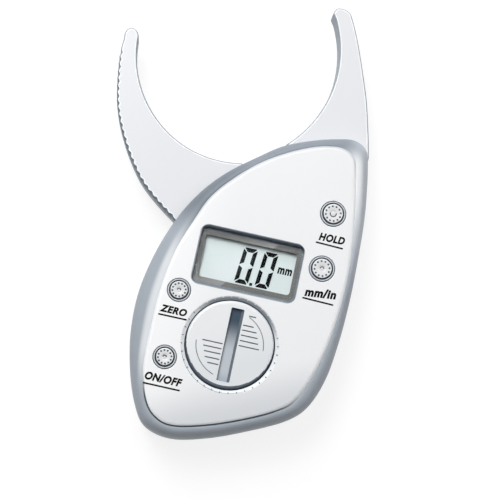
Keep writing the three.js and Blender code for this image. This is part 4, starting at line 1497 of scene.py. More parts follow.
@dataclass
class CaseScrew:
    """One of the six screws that close the casing from behind."""

    number: int
    head_height: float = 1.5
    head_flat_in: float = 0.95
    head_roll: Point = (0.9, 0.8)
    head_steps: int = 6
    head_bevel: float = 0.1
    core: float = 1.05
    steps: int = 40
    point_radius: float = 0.2
    point_length: float = 1.2
    cross_turn: float = 30.0
    cross_width: float = 0.62
    cross_reach: float = 1.35
    cross_depth: float = 0.9
    thread_lead: float = 0.2
    thread_pitch: float = 0.8
    thread_side: float = 0.3
    thread_depth: float = 0.22

    @property
    def node(self) -> str:
        """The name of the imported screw."""
        return f"case_screw_{self.number}"

    @property
    def room(self) -> Extent:
        """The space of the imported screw."""
        return Extent.of(self.node)

    def build(self) -> None:
        """Build the screw with its pan head, cross recess and thread."""
        room = self.room
        head = room.size[0] / 2
        bottom, top = room.low.z, room.high.z
        seat = bottom + self.head_height
        inward, upward = self.head_roll
        profile = [(0, bottom), (head - self.head_flat_in, bottom)]
        profile += [
            (head - inward * (1 - math.sin(turn)), bottom + upward * (1 - math.cos(turn)))
            for turn in quarter_turns(self.head_steps)[1:]
        ]
        profile += [(head, seat - self.head_bevel), (head - self.head_bevel, seat)]
        profile += [(self.core, seat)]
        turns = int((top - self.point_length - seat) / self.thread_pitch)
        for i in range(turns):
            low = seat + self.thread_lead + i * self.thread_pitch
            crest = (self.core + self.thread_depth, low + self.thread_side)
            profile += [(self.core, low), crest, (self.core, low + 2 * self.thread_side)]
        profile += [(self.core, top - self.point_length), (self.point_radius, top), (0, top)]
        solid = turned(profile, room.centre, self.steps)
        for turn in (self.cross_turn, self.cross_turn + 90):
            ends = [polar(room.centre, self.cross_reach * way, turn) for way in (-1, 1)]
            cross = Outline.ribbon(ends, self.cross_width)
            heights = (bottom - OVERSHOOT, bottom + self.cross_depth)
            # The cross recess takes the painted shade
            solid.carve(prism(cross, *heights, Face.SHADE))
        name = f"{self.node}_pan_head"
        settle(solid, name, "casing", "screw_steel", [SCREW, DARK_PAINTED_SHADE], [self.node])


# Display


@dataclass
class Display:
    """The window, its printed border, the glass of the display and the reading on it."""

    clear: Point = (32.6, 14.9)
    clear_corner: float = 1.2
    lens_corner: float = 2.0
    lens_foot: float = 0.1
    lens_bevels: Point = (0.06, 0.2)
    reach_right: float = 0.55
    reach_up: float = 0.4
    reach_down: float = 0.6
    border_bottom: float = 20.0
    border_top: float = 20.1
    border_gap: float = 0.1
    line_gaps: Point = (0.7, 1.1)
    line_corner: float = 1.8
    glass_corner: float = 0.4
    glass_bevel: float = 0.1
    digit_height: float = 12.9
    digit_width: float = 4.95
    stroke: float = 1.42
    gap: float = 0.2
    lean: float = 0.095
    baseline: float = -31.1
    first_left: float = -3.45
    digit_pitch: float = 7.32
    point_gap: float = 0.5
    point: tuple[Point, ...] = ((0, 0), (1.05, 0), (1.1, 1.0), (0.08, 1.0))
    unit_start: Point = (10.75, -24.85)
    unit_end: Point = (15.85, -24.85)
    unit_height: float = 2.3
    film: float = 0.03

    def room(self) -> Extent:
        """Give the room of the pane, which reaches a little further than the frame's lens."""
        lens = Extent.of("display_lens")
        low = lens.low - Vector((0, self.reach_down, 0))
        return Extent(low, lens.high + Vector((self.reach_right, self.reach_up, 0)))

    def build(self) -> None:
        """Build the pieces of the window from the top down."""
        room = self.room()
        width, length = room.size
        slight, deep = self.lens_bevels
        side, edge, crest = (
            Outline.rounded(room.centre, width - 2 * out, length - 2 * out, self.lens_corner - out)
            for out in (0.0, slight, deep)
        )
        pane = [
            Ring(edge, room.low.z),
            Ring(side, room.low.z + self.lens_foot),
            Ring(side, room.high.z - deep),
            Ring(edge, room.high.z - slight),
            Ring(crest, room.high.z),
        ]
        self.settle_layer(pane, "display_lens_pane", "display_lens", LENS)
        self.build_border(room.centre, width, length)
        glass = Extent.of("display_glass")
        width, length = glass.size
        bevel = self.glass_bevel
        side, edge = (
            Outline.rounded(glass.centre, width - out, length - out, self.glass_corner)
            for out in (0.0, 2 * bevel)
        )
        slab = [
            Ring(edge, glass.low.z),
            Ring(side, glass.low.z + bevel),
            Ring(side, glass.high.z - bevel),
            Ring(edge, glass.high.z),
        ]
        self.settle_layer(slab, "display_glass_slab", "display_glass", LCD)
        self.build_reading(glass.high.z)

    def settle_layer(self, rings: list[Ring], name: str, node: str, finish: Finish) -> None:
        """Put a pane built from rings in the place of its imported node."""
        settle(Solid().stack(rings), name, "casing", node, [finish], [node])

    def build_border(self, centre: Point, width: float, length: float) -> None:
        """Build the printed frame under the lens."""
        gap, gaps = self.border_gap, self.line_gaps
        rim = Outline.rounded(centre, width - gap, length - gap, self.lens_corner)
        line = Outline.rounded(centre, width - gaps[0], length - gaps[1], self.line_corner)
        lens = Extent.of("display_lens").centre
        clear = Outline.rounded(lens, *self.clear, self.clear_corner)
        solid = Solid()
        top, foot = self.border_top, self.border_bottom
        # The outer strip of the print takes the groove's painted shade
        outer = solid.skin([Ring(rim, foot), Ring(rim, top), Ring(line, top, Face.SHADE)])
        inner = solid.skin([Ring(clear, foot), Ring(clear, top)])
        solid.fill(outer[0], inner[0])
        solid.fill(outer[1], inner[1])
        settle(solid, "display_border_print", "casing", "display_lens", [BORDER, GROOVE_PAINTED_SHADE])

    def build_reading(self, floor: float) -> None:
        """Build the figures 0.0 and their unit on the glass."""
        reading = Solid()
        for digit in range(2):
            left = self.first_left + digit * self.digit_pitch
            for segment in self.zero_segments():
                points = [(left + x + self.lean * y, self.baseline + y) for x, y in segment]
                reading.add(prism(Outline.of(points), floor, floor + self.film))
        left = self.first_left + self.digit_width + self.point_gap
        point = Outline.of((left + x, self.baseline + y) for x, y in self.point)
        reading.add(prism(point, floor, floor + self.film))
        settle(reading, "display_digits", "casing", "display_glass", [SEGMENT])
        place = (self.unit_start, self.unit_end, self.unit_height, floor, self.film)
        unit = Lettering("mm", *place, lean=0.08, weight=0.046)
        settle(unit.solid(), "display_unit", "casing", "display_glass", [SEGMENT])

    def zero_segments(self) -> list[list[Point]]:
        """Give the six lit segments of a nought, from its lower left corner."""
        width, height = self.digit_width, self.digit_height
        bar_in, gap, half = self.stroke, self.gap, height / 2
        top = [
            (0.3 + gap, height),
            (0.2 + gap, height - 0.3),
            (bar_in + gap - 0.1, height - bar_in - 0.1),
            (width - bar_in - gap + 0.1, height - bar_in - 0.1),
            (width - 0.2 - gap, height - 0.3),
            (width - 0.3 - gap, height),
        ]
        upper_left = [
            (0, half + 0.12),
            (bar_in, half + 1.0),
            (bar_in, height - bar_in - 0.3),
            (0.12, height - 0.62),
            (0, height - 0.75),
        ]
        upper_right = [(width - x, y) for x, y in reversed(upper_left)]
        segments = [top, upper_left, upper_right]
        segments += [[(x, height - y) for x, y in reversed(s)] for s in segments]
        return segments


@dataclass
class Lettering:
    """A plain word in raised print, set along a line."""

    words: str
    start: Point
    end: Point
    height: float
    floor: float
    film: float
    lean: float = 0.2
    weight: float = 0.052
    spacing: float = 1.12
    bend_steps: int = 6

    def solid(self) -> Solid:
        """Build the word, fitted between its two ends."""
        text = bpy.data.curves.new("word", "FONT")
        text.body = self.words
        text.shear = self.lean
        text.space_character = self.spacing
        text.offset = self.weight
        text.resolution_u = self.bend_steps
        # Half a unit to each side, so that the film's height scales it
        text.extrude = 0.5
        carrier = bpy.data.objects.new("word", text)
        bpy.context.scene.collection.objects.link(carrier)
        graph = bpy.context.evaluated_depsgraph_get()
        mesh = bpy.data.meshes.new_from_object(carrier.evaluated_get(graph))
        bpy.data.objects.remove(carrier)
        solid = Solid()
        solid.mesh.from_mesh(mesh)
        bpy.data.meshes.remove(mesh)
        spots = [vert.co for vert in solid.mesh.verts]
        left, right = min(s.x for s in spots), max(s.x for s in spots)
        foot = min(s.y for s in spots) if self.words.isalpha() else 0.0
        tall = max(s.y for s in spots) - foot
        way = Vector(self.end) - Vector(self.start)
        shrink = Matrix.Diagonal((way.length / (right - left), self.height / tall, self.film, 1))
        turn = Matrix.Rotation(math.atan2(way.y, way.x), 4, "Z")
        lift = Matrix.Translation((*self.start, self.floor + self.film / 2))
        home = Matrix.Translation((-left, -foot, 0))
        bmesh.ops.transform(solid.mesh, matrix=lift @ turn @ shrink @ home, verts=solid.mesh.verts)
        return solid


# Controls


def outside(spot: Point, radius: float, bottom: float) -> Callable[[Vector], bool]:
    """Tell places above a height that lie outside a circle."""
    middle = Vector(spot)
    return lambda at: (at.xy - middle).length > radius and at.z > bottom


@dataclass
class PushButton:
    """A round push button with a ring of small dots and a curl in its middle."""

    name: str
    hole_gap: float = 0.3
    flange_width: float = 0.8
    flange_top: float = 18.45
    edge_in: float = 0.45
    edge_drop: float = 0.5
    core_share: float = 0.32
    dots: int = 12
    dot_ring_share: float = 0.73
    dot_radius: float = 0.34
    dot_depth: float = 0.18
    dot_steps: int = 14
    curl_width: float = 0.42
    curl_depth: float = 0.3
    curl_steps: int = 12
    shade_shift: float = 0.14
    shade_width: float = 0.24

    @classmethod
    def all(cls) -> list[PushButton]:
        """Give the four buttons of the face."""
        return [cls(name) for name in ("hold", "unit", "zero", "power")]

    @property
    def room(self) -> Extent:
        """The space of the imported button."""
        return Extent.of(f"{self.name}_button")

    @property
    def spot(self) -> Point:
        """The button's axis in plan."""
        return self.room.centre

    @property
    def radius(self) -> float:
        """The radius of the cap."""
        return self.room.size[0] / 2 - self.flange_width

    @property
    def hole(self) -> float:
        """The radius of the hole in the face plate."""
        return self.radius + self.hole_gap

    def build(self) -> None:
        """Build the cap with its dots and curl."""
        room, radius, spot = self.room, self.radius, self.spot
        low, high = room.low.z, room.high.z
        core = radius * self.core_share
        profile = [
            (0, low),
            (radius + self.flange_width, low),
            (radius + self.flange_width, self.flange_top),
            (radius, self.flange_top),
        ]
        profile += roll(radius, self.edge_in, high, self.edge_drop)
        profile += [
            (radius - self.edge_in - 0.05, high),
            (core + 0.12, high),
            (core, high - 0.05),
            (core - 0.16, high - 0.16),
            (core * 0.45, high - 0.1),
            (core * 0.2, high - 0.04),
            (0, high - 0.03),
        ]
        solid = turned(profile, spot, BUTTON_STEPS)
        dots = Solid()
        over = high + OVERSHOOT
        for i in range(self.dots):
            place = polar(spot, radius * self.dot_ring_share, 360 * (i + 0.5) / self.dots)
            dot = bar(place, self.dot_radius, high - self.dot_depth, over, self.dot_steps)
            # Each dot's pit takes the painted shade
            dots.add(dot.paint(Face.SHADE, lambda at: True))
        solid.carve(dots)
        # The curl's groove takes the painted shade
        solid.carve(prism(self.curl(core), high - self.curl_depth, over, Face.SHADE))
        # Painted shade on the cap's round edge, widest on its lower side, which faces away from
        # the light
        lit = (spot[0], spot[1] + self.shade_shift)
        solid.paint(Face.SHADE, outside(lit, radius - self.shade_width, self.flange_top))
        name = self.name
        place = (f"{name}_button_cap", f"button_{name}", "button_silver")
        settle(solid, *place, [CAP, DARK_PAINTED_SHADE], [f"{name}_button"])

    def curl(self, core: float) -> Outline:
        """Draw the short curl in the cap's middle, a wider one on the hold button."""
        share, start, sweep = (0.92, 180, 190) if self.name == "hold" else (0.55, 20, 150)
        turns = [start + sweep * i / self.curl_steps for i in range(self.curl_steps + 1)]
        line = [polar(self.spot, core * share, turn) for turn in turns]
        return Outline.ribbon(line, self.curl_width)


class DoorFace(IntEnum):
    """The finish numbers of the battery door."""

    MAIN = 0
    EDGE = 1
    SLOT = 2
    MARK = 3


@dataclass
class BatteryDoor:
    """The round door of the battery well, with its coin slot, hatching and turn marks."""

    disc_bottom: float = 20.25
    disc_radius: float = 15.35
    foot_bevel: float = 0.15
    edge_in: float = 1.15
    edge_drop: float = 1.0
    edge_steps: int = 10
    flat_margin: float = 0.06
    plug_radius: float = 12.0
    plug_bottom: float = 17.55
    plug_top: float = 18.3
    skirt: float = 1.2
    slot: Point = (4.4, 25.5)
    slot_shift: float = 0.25
    slot_depth: float = 1.1
    slot_corner: float = 0.35
    floor_corner: float = 0.3
    steep: float = 0.15
    slope: float = 0.85
    line: float = 0.42
    arc_line: float = 0.26
    line_depth: float = 0.22
    line_bevel: float = 0.06
    right_hatch: tuple[Point, ...] = ((7.6, 6.6), (5.9, 8.0), (4.1, 8.7), (2.2, 9.3), (0.4, 10.0))
    left_hatch: tuple[Point, ...] = (
        (-0.2, -9.4), (-2.0, -8.7), (-3.8, -8.1), (-5.7, -7.4), (-7.5, -6.1),
    )
    hatch_starts: Point = (3.2, -2.6)
    arc_radius: float = 11.6
    arcs: tuple[Point, ...] = ((66, 2), (184, 252))
    arc_steps: int = 20
    barb_reach: float = 0.6
    barb_turn: float = 65.0
    barb_length: float = 1.6
    shade_shift: float = 1.0
    shade_width: float = 0.26

    def build(self) -> None:
        """Build the door."""
        room = Extent.of("battery_door")
        spot, top = room.centre, room.high.z
        over = top + OVERSHOOT
        inner = self.plug_radius - self.skirt
        profile = [
            (0, self.plug_top),
            (inner, self.plug_top),
            (inner, self.plug_bottom),
            (self.plug_radius, self.plug_bottom),
            (self.plug_radius, self.disc_bottom),
            (self.disc_radius - self.foot_bevel, self.disc_bottom),
            (self.disc_radius, self.disc_bottom + self.foot_bevel),
        ]
        profile += roll(self.disc_radius, self.edge_in, top, self.edge_drop, self.edge_steps)
        profile += [(self.disc_radius - self.edge_in - self.flat_margin, top), (0, top)]
        solid = turned(profile, spot, FINE_STEPS)
        solid.carve(self.slot_tool((spot[0] + self.slot_shift, spot[1]), top))
        marks = Solid()
        for line in self.marks(spot):
            stroke = Outline.ribbon(line, self.arc_line if len(line) > 2 else self.line)
            foot = stroke.inset(self.line_bevel)
            steps = ((foot, top - self.line_depth), (stroke, top), (stroke, over))
            marks.add(Solid().stack([Ring(edge, height, DoorFace.MARK) for edge, height in steps]))
        solid.carve(marks)
        # Painted shade on the round edge, widest on the lower side, which faces away from the
        # light
        lit = (spot[0], spot[1] + self.shade_shift)
        dark = outside(lit, self.disc_radius - self.shade_width, self.disc_bottom)
        solid.paint(DoorFace.EDGE, dark)
        finishes = [self.face_finish(spot), self.edge_finish(), self.slot_finish(spot), GROOVE_PAINTED_SHADE]
        settle(solid, "battery_door_disc", "door", "door_silver", finishes, ["battery_door"])

    def slot_tool(self, spot: Point, top: float) -> Solid:
        """Make the coin slot's tool: a floor with one steep wall and one sloping wall."""
        width, length = self.slot
        floor = top - self.slot_depth
        mouth = Outline.rounded(spot, width, length, self.slot_corner)
        foot_width = width - self.slope - self.steep
        foot_spot = (spot[0] - (self.slope - self.steep) / 2, spot[1])
        foot = Outline.rounded(foot_spot, foot_width, length - 2 * self.steep, self.floor_corner)
        lip = mouth.inset(-0.1)
        steps = ((foot, floor), (mouth, top - 0.08), (lip, top + 0.02), (lip, top + OVERSHOOT))
        tool = Solid().stack([Ring(edge, height, DoorFace.SLOT) for edge, height in steps])
        half = width / 2 - self.slope * 0.9
        low, high = floor + 0.01, top - 0.1
        # The slot's side walls take the groove's painted shade
        return tool.paint(
            DoorFace.MARK, lambda at: abs(at.x - spot[0]) > half and low < at.z < high
        )

    def slot_finish(self, spot: Point) -> Finish:
        """Give the slot's floor, with painted shade dark at its upper end, and pale at its lower
        end.
        """
        half, y = self.slot[1] / 2, spot[1]
        shade = Band((64, 79, 94), (Ramp(TO_JAWS, y - half * 0.22, y + half * 0.72),))
        end = Band((168, 178, 188), (Ramp(TO_FOOT, half * 0.7 - y, half - y),))
        return BandedPaint("slot_floor_painted_shade", (194, 201, 208), gloss=0.15, bands=(shade, end))

    def face_finish(self, spot: Point) -> Finish:
        """Give the door's face, a little darker at its lower right as painted shade."""
        reach = 0.5 * spot[0] - 0.87 * spot[1]
        shade = Band((226, 229, 232), (Ramp((0.5, -0.87, 0.0), reach - 8.0, reach + 10.0),))
        sizes = {"roughness": 0.38, "drift": 0.02, "sparkle": 0.03}
        return BandedPaint("door_silver_paint", (236, 238, 240), bands=(shade,), **sizes)

    def edge_finish(self) -> Finish:
        """Give the foot of the door's round edge a painted shade, a dark line round the disc."""
        return Finish("door_edge_painted_shade", (84, 95, 107), roughness=0.6)

    def marks(self, spot: Point) -> list[list[Point]]:
        """Give the hatching beside the slot and the two turn marks round it."""
        x, y = spot
        right, left = self.hatch_starts
        lines = [[(x + right, y + up), (x + reach, y + up)] for up, reach in self.right_hatch]
        lines += [[(x + reach, y + up), (x + left, y + up)] for up, reach in self.left_hatch]
        for start, end in self.arcs:
            sweep, steps = end - start, self.arc_steps
            turns = [start + sweep * i / steps for i in range(steps + 1)]
            lines.append([polar(spot, self.arc_radius, turn) for turn in turns])
        x, y = polar(spot, self.arc_radius + self.barb_reach, self.barb_turn)
        lines.append([(x - self.barb_reach, y), (x + self.barb_length, y)])
        return lines


# Jaws


class JawFace(IntEnum):
    """The finish numbers of both jaws."""

    MAIN = 0
    WALL = 1
    EDGE = 2


@dataclass
class Jaws:
    """The fixed jaw and the moving jaw, drawn as shares of the jaws' reach."""

    reach: float = 74.07
    bottom: float = 6.2
    top: float = 14.0
    edge: float = 0.6
    edge_steps: int = 6
    glint: float = 0.22
    grip: float = 11.2
    hub_radius: float = 10.6
    hub_start: float = -115.0
    hub_sweep: float = 217.0
    hub_steps: int = 60
    foot_edge: float = 0.2
    foot_margin: float = 0.3
    flat_margin: float = 0.1
    inner_steps: int = 80
    tip_taper: float = 1.1
    tip_reach: float = 1.3
    tip_steps: int = 20
    pitch: float = 2.75
    tooth_depth: float = 0.5
    tooth_power: float = 1.3
    points_per_tooth: int = 10
    bore: tuple[Point, ...] = ((4.0, 12.4), (4.7, 12.4), (4.7, 13.65), (9.8, 13.65))
    peg_spot: Point = (-9.71, 1.01)
    peg_radius: float = 1.0
    peg_bottom: float = 4.5
    peg_root: float = 0.5
    peg_steps: int = 32
    screw_hole: float = 1.6
    serration_shares: Point = (0.06, 0.93)
    moving_centre_share: Point = (-0.2315, 0.654)
    moving_radius_share: float = 0.5022
    moving_inner_turns: Point = (281.9, -103.3)
    moving_outer_shares: tuple[Point, ...] = (
        (-0.817, 0.65), (-0.8155, 0.5265), (-0.7776, 0.32), (-0.7061, 0.154),
        (-0.6008, -0.004), (-0.4982, -0.1), (-0.3713, -0.188), (-0.325, -0.21),
    )
    fixed_centre_share: Point = (-0.3474, 0.7146)
    fixed_radius_share: float = 0.5832
    fixed_inner_turns: Point = (26.6, -71.4)
    fixed_outer_steps: int = 12
    fixed_outer_shares: tuple[Point, ...] = (
        (0.4705, 0.327), (0.45, 0.427), (0.408, 0.595), (0.358, 0.745), (0.306, 0.886),
        (0.258, 0.993),
    )
    fixed_tip_shares: tuple[Point, ...] = (
        (0.235, 1.026), (0.203, 1.038), (0.173, 1.034), (0.16, 1.016), (0.157, 1.0),
    )
    root_right: float = 32.41
    root_bottom: float = -4.0
    root_left: tuple[Point, ...] = ((8.88, 18.58), (13.99, 12.47), (15.47, 4.0), (15.47, -4.0))
    shoulder: float = 22.29

    def scaled(self, shares: Iterable[Point]) -> list[Point]:
        """Turn shares of the reach into places."""
        return [(x * self.reach, y * self.reach) for x, y in shares]

    def moving_edge(self) -> Curve:
        """Give the smooth outer edge of the moving jaw, from its tip to its root."""
        return Curve(self.scaled(self.moving_outer_shares))

    def moving_outline(self, depth: float) -> Outline:
        """Draw the moving jaw with scallops of a depth along its outer edge.

        Args:
            depth: The depth of the thumb serration, or 0 for a smooth edge.

        Returns:
            The outline, with the same number of points for any depth.
        """
        steps = self.hub_steps
        turns = [self.hub_start + self.hub_sweep * i / steps for i in range(steps + 1)]
        hub = [polar((0, 0), self.hub_radius, turn) for turn in turns]
        centre = self.scaled([self.moving_centre_share])[0]
        radius = self.moving_radius_share * self.reach
        start, sweep = self.moving_inner_turns
        steps = self.inner_steps
        inner = []
        for i in range(steps + 1):
            taper = self.tip_taper * max(0.0, i / (steps / 2) - 1) ** 2
            inner.append(polar(centre, radius + taper, start + sweep * i / steps))
        curve = self.moving_edge()
        first, last = self.serration_shares
        teeth = round(curve.length() * (last - first) / self.pitch)
        count = teeth * self.points_per_tooth
        shares = [0.0, first / 3, first * 2 / 3]
        rises = [0.0, 0.0, 0.0]
        for i in range(count + 1):
            shares.append(first + (last - first) * i / count)
            wave = abs(math.cos(math.pi * i / self.points_per_tooth)) ** self.tooth_power
            rises.append(depth * (wave - 1))
        shares += [(last + 1) / 2, 1.0]
        rises += [0.0, 0.0]
        outer = curve.along(shares, rises)
        tip_in, tip_out = Vector(inner[-1]), Vector(outer[0])
        middle = (tip_in + tip_out) / 2
        lean = math.degrees(math.atan2(tip_in.y - middle.y, tip_in.x - middle.x))
        wide = (tip_in - tip_out).length / 2
        ahead = Vector(polar((0, 0), self.tip_reach - 1, lean + 90))
        tip = []
        steps = self.tip_steps
        for i in range(1, steps):
            spot = Vector(polar(middle, wide, lean + 180 * i / steps))
            tip.append(spot + ahead * wide * math.sin(math.pi * i / steps))
        return Outline.of([*hub, *inner, *tip, *outer])

    def fixed_outline(self) -> Outline:
        """Draw the fixed jaw, from the lower right corner of its root."""
        edge = Curve(self.scaled(self.fixed_outer_shares + self.fixed_tip_shares))
        outer = edge.sample(self.fixed_outer_steps)
        centre = self.scaled([self.fixed_centre_share])[0]
        radius = self.fixed_radius_share * self.reach
        start, sweep = self.fixed_inner_turns
        turns = [start + sweep * i / self.inner_steps for i in range(self.inner_steps + 1)]
        inner = [polar(centre, radius, turn) for turn in turns]
        return Outline.of(
            [
                (self.root_right, self.root_bottom),
                (self.root_right, self.shoulder),
                (outer[0].x, self.shoulder),
                *outer,
                *inner,
                *self.root_left,
            ]
        )

    def blade(self, wall: Outline, brim: Outline, depth: float) -> Solid:
        """Make a jaw with a round upper edge that may be scalloped.

        Args:
            wall: The outline at the foot of the wall, which the flat faces follow.
            brim: The outline of the upper edge, with its scallops.
            depth: How far the scallops cut in from the wall.

        Returns:
            The jaw.
        """
        rings = [
            Ring(wall.inset(self.foot_edge + self.foot_margin), self.bottom),
            Ring(wall.inset(self.foot_edge), self.bottom, JawFace.WALL),
            Ring(wall, self.bottom + self.foot_edge, JawFace.WALL),
            Ring(wall, self.grip, JawFace.WALL),
        ]
        flat = brim.inset(self.edge)
        for turn in reversed(quarter_turns(self.edge_steps)):
            height = self.top - self.edge * (1 - math.cos(turn))
            # The outer steps of the round edge take the wall's painted shade, the last step the
            # painted highlight
            finish = JawFace.WALL if turn > 0 else JawFace.EDGE
            rings.append(Ring(flat.towards(brim, math.sin(turn)), height, finish))
        # A painted highlight along the inside of the round edge
        rings.append(Ring(brim.inset(self.edge + self.glint), self.top, JawFace.EDGE))
        inside = self.edge + self.glint + depth + self.flat_margin
        rings.append(Ring(wall.inset(inside), self.top))
        return Solid().stack(rings)

    def build(self) -> None:
        """Build both jaws."""
        finishes = [JAW_WHITE, JAW_WALL_PAINTED_SHADE, JAW_PAINTED_HIGHLIGHT]
        depth = self.tooth_depth
        moving = self.blade(self.moving_outline(0.0), self.moving_outline(depth), depth)
        foot, over = self.bottom - OVERSHOOT, self.top + OVERSHOOT
        narrow, wide = self.bore[0][0], self.bore[-1][0]
        moving.carve(turned([(0, foot), (narrow, foot), *self.bore, (wide, over), (0, over)]))
        peg_top = self.top - self.peg_root
        peg = bar(self.peg_spot, self.peg_radius, self.peg_bottom, peg_top, self.peg_steps)
        moving.carve(peg, Cut.JOIN)
        settle(moving, "moving_jaw_blade", "jaw", "jaw_white", finishes, ["moving_jaw"])
        outline = self.fixed_outline()
        fixed = self.blade(outline, outline, 0.0)
        for number in JAW_SCREWS:
            spot = CaseScrew(number).room.centre
            fixed.carve(bar(spot, self.screw_hole, foot, over))
        settle(fixed, "fixed_jaw_blade", "casing", "jaw_white", finishes, ["fixed_jaw"])


@dataclass
class Labels:
    """The plain words beside the buttons, each over its line."""

    film: float = 0.03
    line: float = 0.56
    words: tuple[tuple[str, Point, Point, float, Point, Point], ...] = (
        ("HOLD", (22.3, -10.7), (31.5, -10.6), 2.8, (21.8, -11.6), (31.1, -11.9)),
        ("mm/in", (21.4, -30.8), (32.4, -29.7), 3.0, (21.1, -31.7), (31.7, -32.0)),
        ("ZERO", (-26.3, -46.9), (-16.9, -47.0), 2.6, (-26.3, -47.9), (-16.7, -47.9)),
        ("ON/OFF", (-26.3, -70.4), (-13.4, -70.6), 2.6, (-26.2, -71.9), (-13.8, -72.0)),
    )

    def build(self, floor: float) -> None:
        """Print the words on the face.

        Args:
            floor: The height of the face.
        """
        names = ("hold", "unit", "zero", "power")
        for name, (word, start, end, height, left, right) in zip(names, self.words):
            label = Lettering(word, start, end, height, floor, self.film).solid()
            stroke = Outline.ribbon([left, right], self.line)
            label.add(prism(stroke, floor, floor + self.film))
            settle(label, f"{name}_label", "casing", "satin_silver", [PRINT])


# Inside


def dress_inner_nodes() -> None:
    """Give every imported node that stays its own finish."""
    finishes = dict(INNER_FINISHES)
    for button in PushButton.all():
        finishes[f"{button.name}_switch"] = SWITCH
        finishes[f"{button.name}_plunger"] = PLUNGER
    for node, finish in finishes.items():
        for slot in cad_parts[node].material_slots:
            slot.material = finish.material()
        log.info("%s: %s", node, finish.name)


# Studio


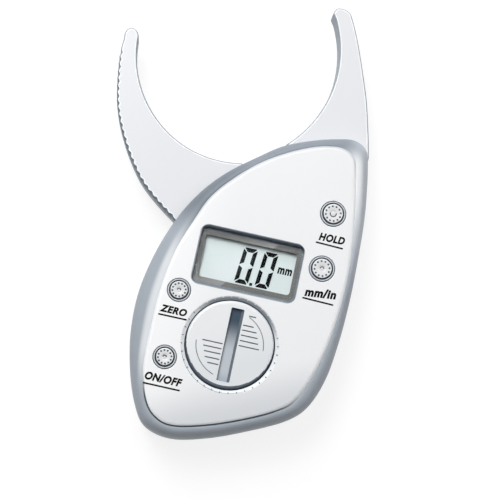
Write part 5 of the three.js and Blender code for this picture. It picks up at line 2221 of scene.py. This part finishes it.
@dataclass
class Studio:
    """A plain pale floor, soft light from the upper left and the camera over the face."""

    floor_size: float = 4.0
    floor_drop: float = 0.02
    floor_tone: float = 0.8
    glow: float = 0.82
    catch: float = 0.24
    sky_low: float = 0.16
    sky_high: float = 0.42
    sky_span: Point = (-0.8, 0.6)
    eye: tuple[float, float, float] = (-16.06, -94.71, 466.39)
    aim: tuple[float, float, float] = (-0.3, -19.4, 22.0)
    roll: float = 12.0
    lens: float = 93.58
    near_clip: float = 0.01

    def build(self) -> None:
        """Set the stage."""
        self.build_floor()
        self.build_world()
        self.lamp("key_light", (-0.38, 0.62, 0.72), 0.6, 6.6)
        self.lamp("fill_light", (0.75, 0.3, 0.9), 0.8, 1.9)
        self.lamp("upper_light", (-0.5, 0.4, 1.1), 0.5, 4.4)
        self.build_camera()

    def build_floor(self) -> None:
        """Build the floor, white to the eye yet with the object's shadow."""
        mesh = bmesh.new()
        bmesh.ops.create_grid(mesh, x_segments=1, y_segments=1, size=self.floor_size / 2)
        bmesh.ops.translate(mesh, vec=(0, 0, -self.floor_drop * MM), verts=mesh.verts)
        data = bpy.data.meshes.new("floor")
        mesh.to_mesh(data)
        mesh.free()
        floor = bpy.data.objects.new("floor", data)
        bpy.context.scene.collection.objects.link(floor)
        material = bpy.data.materials.new("floor_white")
        material.use_nodes = True
        tree = material.node_tree
        tree.nodes.remove(tree.nodes["Principled BSDF"])
        nodes = Nodes(tree)
        tone = (self.floor_tone, self.floor_tone, self.floor_tone, 1)
        plain = nodes.add("ShaderNodeBsdfDiffuse", {"Color": tone}).outputs[0]
        catch = (self.catch, self.catch, self.catch, 1)
        shaded = nodes.add("ShaderNodeBsdfDiffuse", {"Color": catch}).outputs[0]
        glow = nodes.add("ShaderNodeEmission", {"Strength": self.glow}).outputs[0]
        seen = nodes.add("ShaderNodeAddShader", {0: shaded, 1: glow}).outputs[0]
        path = nodes.add("ShaderNodeLightPath").outputs
        mixed = nodes.add("ShaderNodeMixShader", {0: self.sight(nodes, path), 1: plain, 2: seen})
        nodes.feed(tree.nodes["Material Output"].inputs["Surface"], mixed.outputs[0])
        data.materials.append(material)

    def sight(self, nodes: Nodes, path: Sequence[Socket]) -> Socket:
        """Tell rays that look from rays that light."""
        seen = nodes.sum("MAXIMUM", path["Is Camera Ray"], path["Is Glossy Ray"])
        return nodes.sum("MAXIMUM", seen, path["Is Transmission Ray"])

    def build_world(self) -> None:
        """Build a sky that is white to the eye and lights less from the foot of the picture.

        Light that a surface gathers through the window's pane is left out, because the lamps'
        and the sky's shadow rays bring it already.
        """
        world = bpy.data.worlds.new("studio_sky")
        bpy.context.scene.world = world
        world.use_nodes = True
        tree = world.node_tree
        tree.nodes.clear()
        nodes = Nodes(tree)
        way = nodes.axes(nodes.add("ShaderNodeTexCoord").outputs["Generated"])
        share = nodes.ramp(way[1], *self.sky_span)
        rise = nodes.sum("MULTIPLY_ADD", share, self.sky_high - self.sky_low, self.sky_low)
        path = nodes.add("ShaderNodeLightPath").outputs
        gathered = nodes.sum("MINIMUM", path["Diffuse Depth"], 1.0)
        doubled = nodes.sum("MULTIPLY", gathered, path["Is Transmission Ray"])
        strength = nodes.sum("MULTIPLY", rise, nodes.sum("SUBTRACT", 1.0, doubled))
        light = nodes.add("ShaderNodeBackground", {"Strength": strength}).outputs[0]
        white = nodes.add("ShaderNodeBackground", {"Color": (1, 1, 1, 1)}).outputs[0]
        direct = nodes.sum("SUBTRACT", 1.0, gathered)
        seen = nodes.sum("MULTIPLY", self.sight(nodes, path), direct)
        mixed = nodes.add("ShaderNodeMixShader", {0: seen, 1: light, 2: white})
        output = nodes.add("ShaderNodeOutputWorld")
        nodes.feed(output.inputs["Surface"], mixed.outputs[0])

    def lamp(self, name: str, spot: tuple[float, float, float], size: float, power: float) -> None:
        """Hang a soft square lamp that looks at the object.

        Args:
            name: The lamp's name.
            spot: Its place, in metres.
            size: The side of its square, in metres.
            power: Its power, in watts.
        """
        light = bpy.data.lights.new(name, "AREA")
        light.size = size
        light.energy = power
        carrier = bpy.data.objects.new(name, light)
        carrier.location = spot
        way = Vector(self.aim) * MM - Vector(spot)
        carrier.rotation_euler = way.to_track_quat("-Z", "Y").to_euler()
        bpy.context.scene.collection.objects.link(carrier)

    def build_camera(self) -> None:
        """Set the camera over the face, turned as the photograph is."""
        camera = bpy.data.cameras.new("camera")
        camera.lens = self.lens
        camera.clip_start = self.near_clip
        carrier = bpy.data.objects.new("camera", camera)
        bpy.context.scene.collection.objects.link(carrier)
        back = (Vector(self.eye) - Vector(self.aim)).normalized()
        lean = math.radians(self.roll)
        right = Vector((-math.sin(lean), math.cos(lean), 0)).cross(back).normalized()
        turn = Matrix((right, back.cross(right), back)).transposed()
        carrier.matrix_world = Matrix.Translation(Vector(self.eye) * MM) @ turn.to_4x4()
        bpy.context.scene.camera = carrier


def main() -> None:
    """Build every piece of the caliper in order."""
    logging.basicConfig(level=logging.INFO, format="%(name)s: %(message)s")
    bpy.context.scene.view_settings.view_transform = "Standard"
    Studio().build()
    casing = Casing()
    RearCover(casing).build()
    FrontHousing(casing).build()
    plate = FacePlate(casing)
    plate.build()
    for number in CASE_SCREWS:
        CaseScrew(number).build()
    Display().build()
    for button in PushButton.all():
        button.build()
    BatteryDoor().build()
    Jaws().build()
    Labels().build(plate.top)
    dress_inner_nodes()


if __name__ == "__main__":
    main()
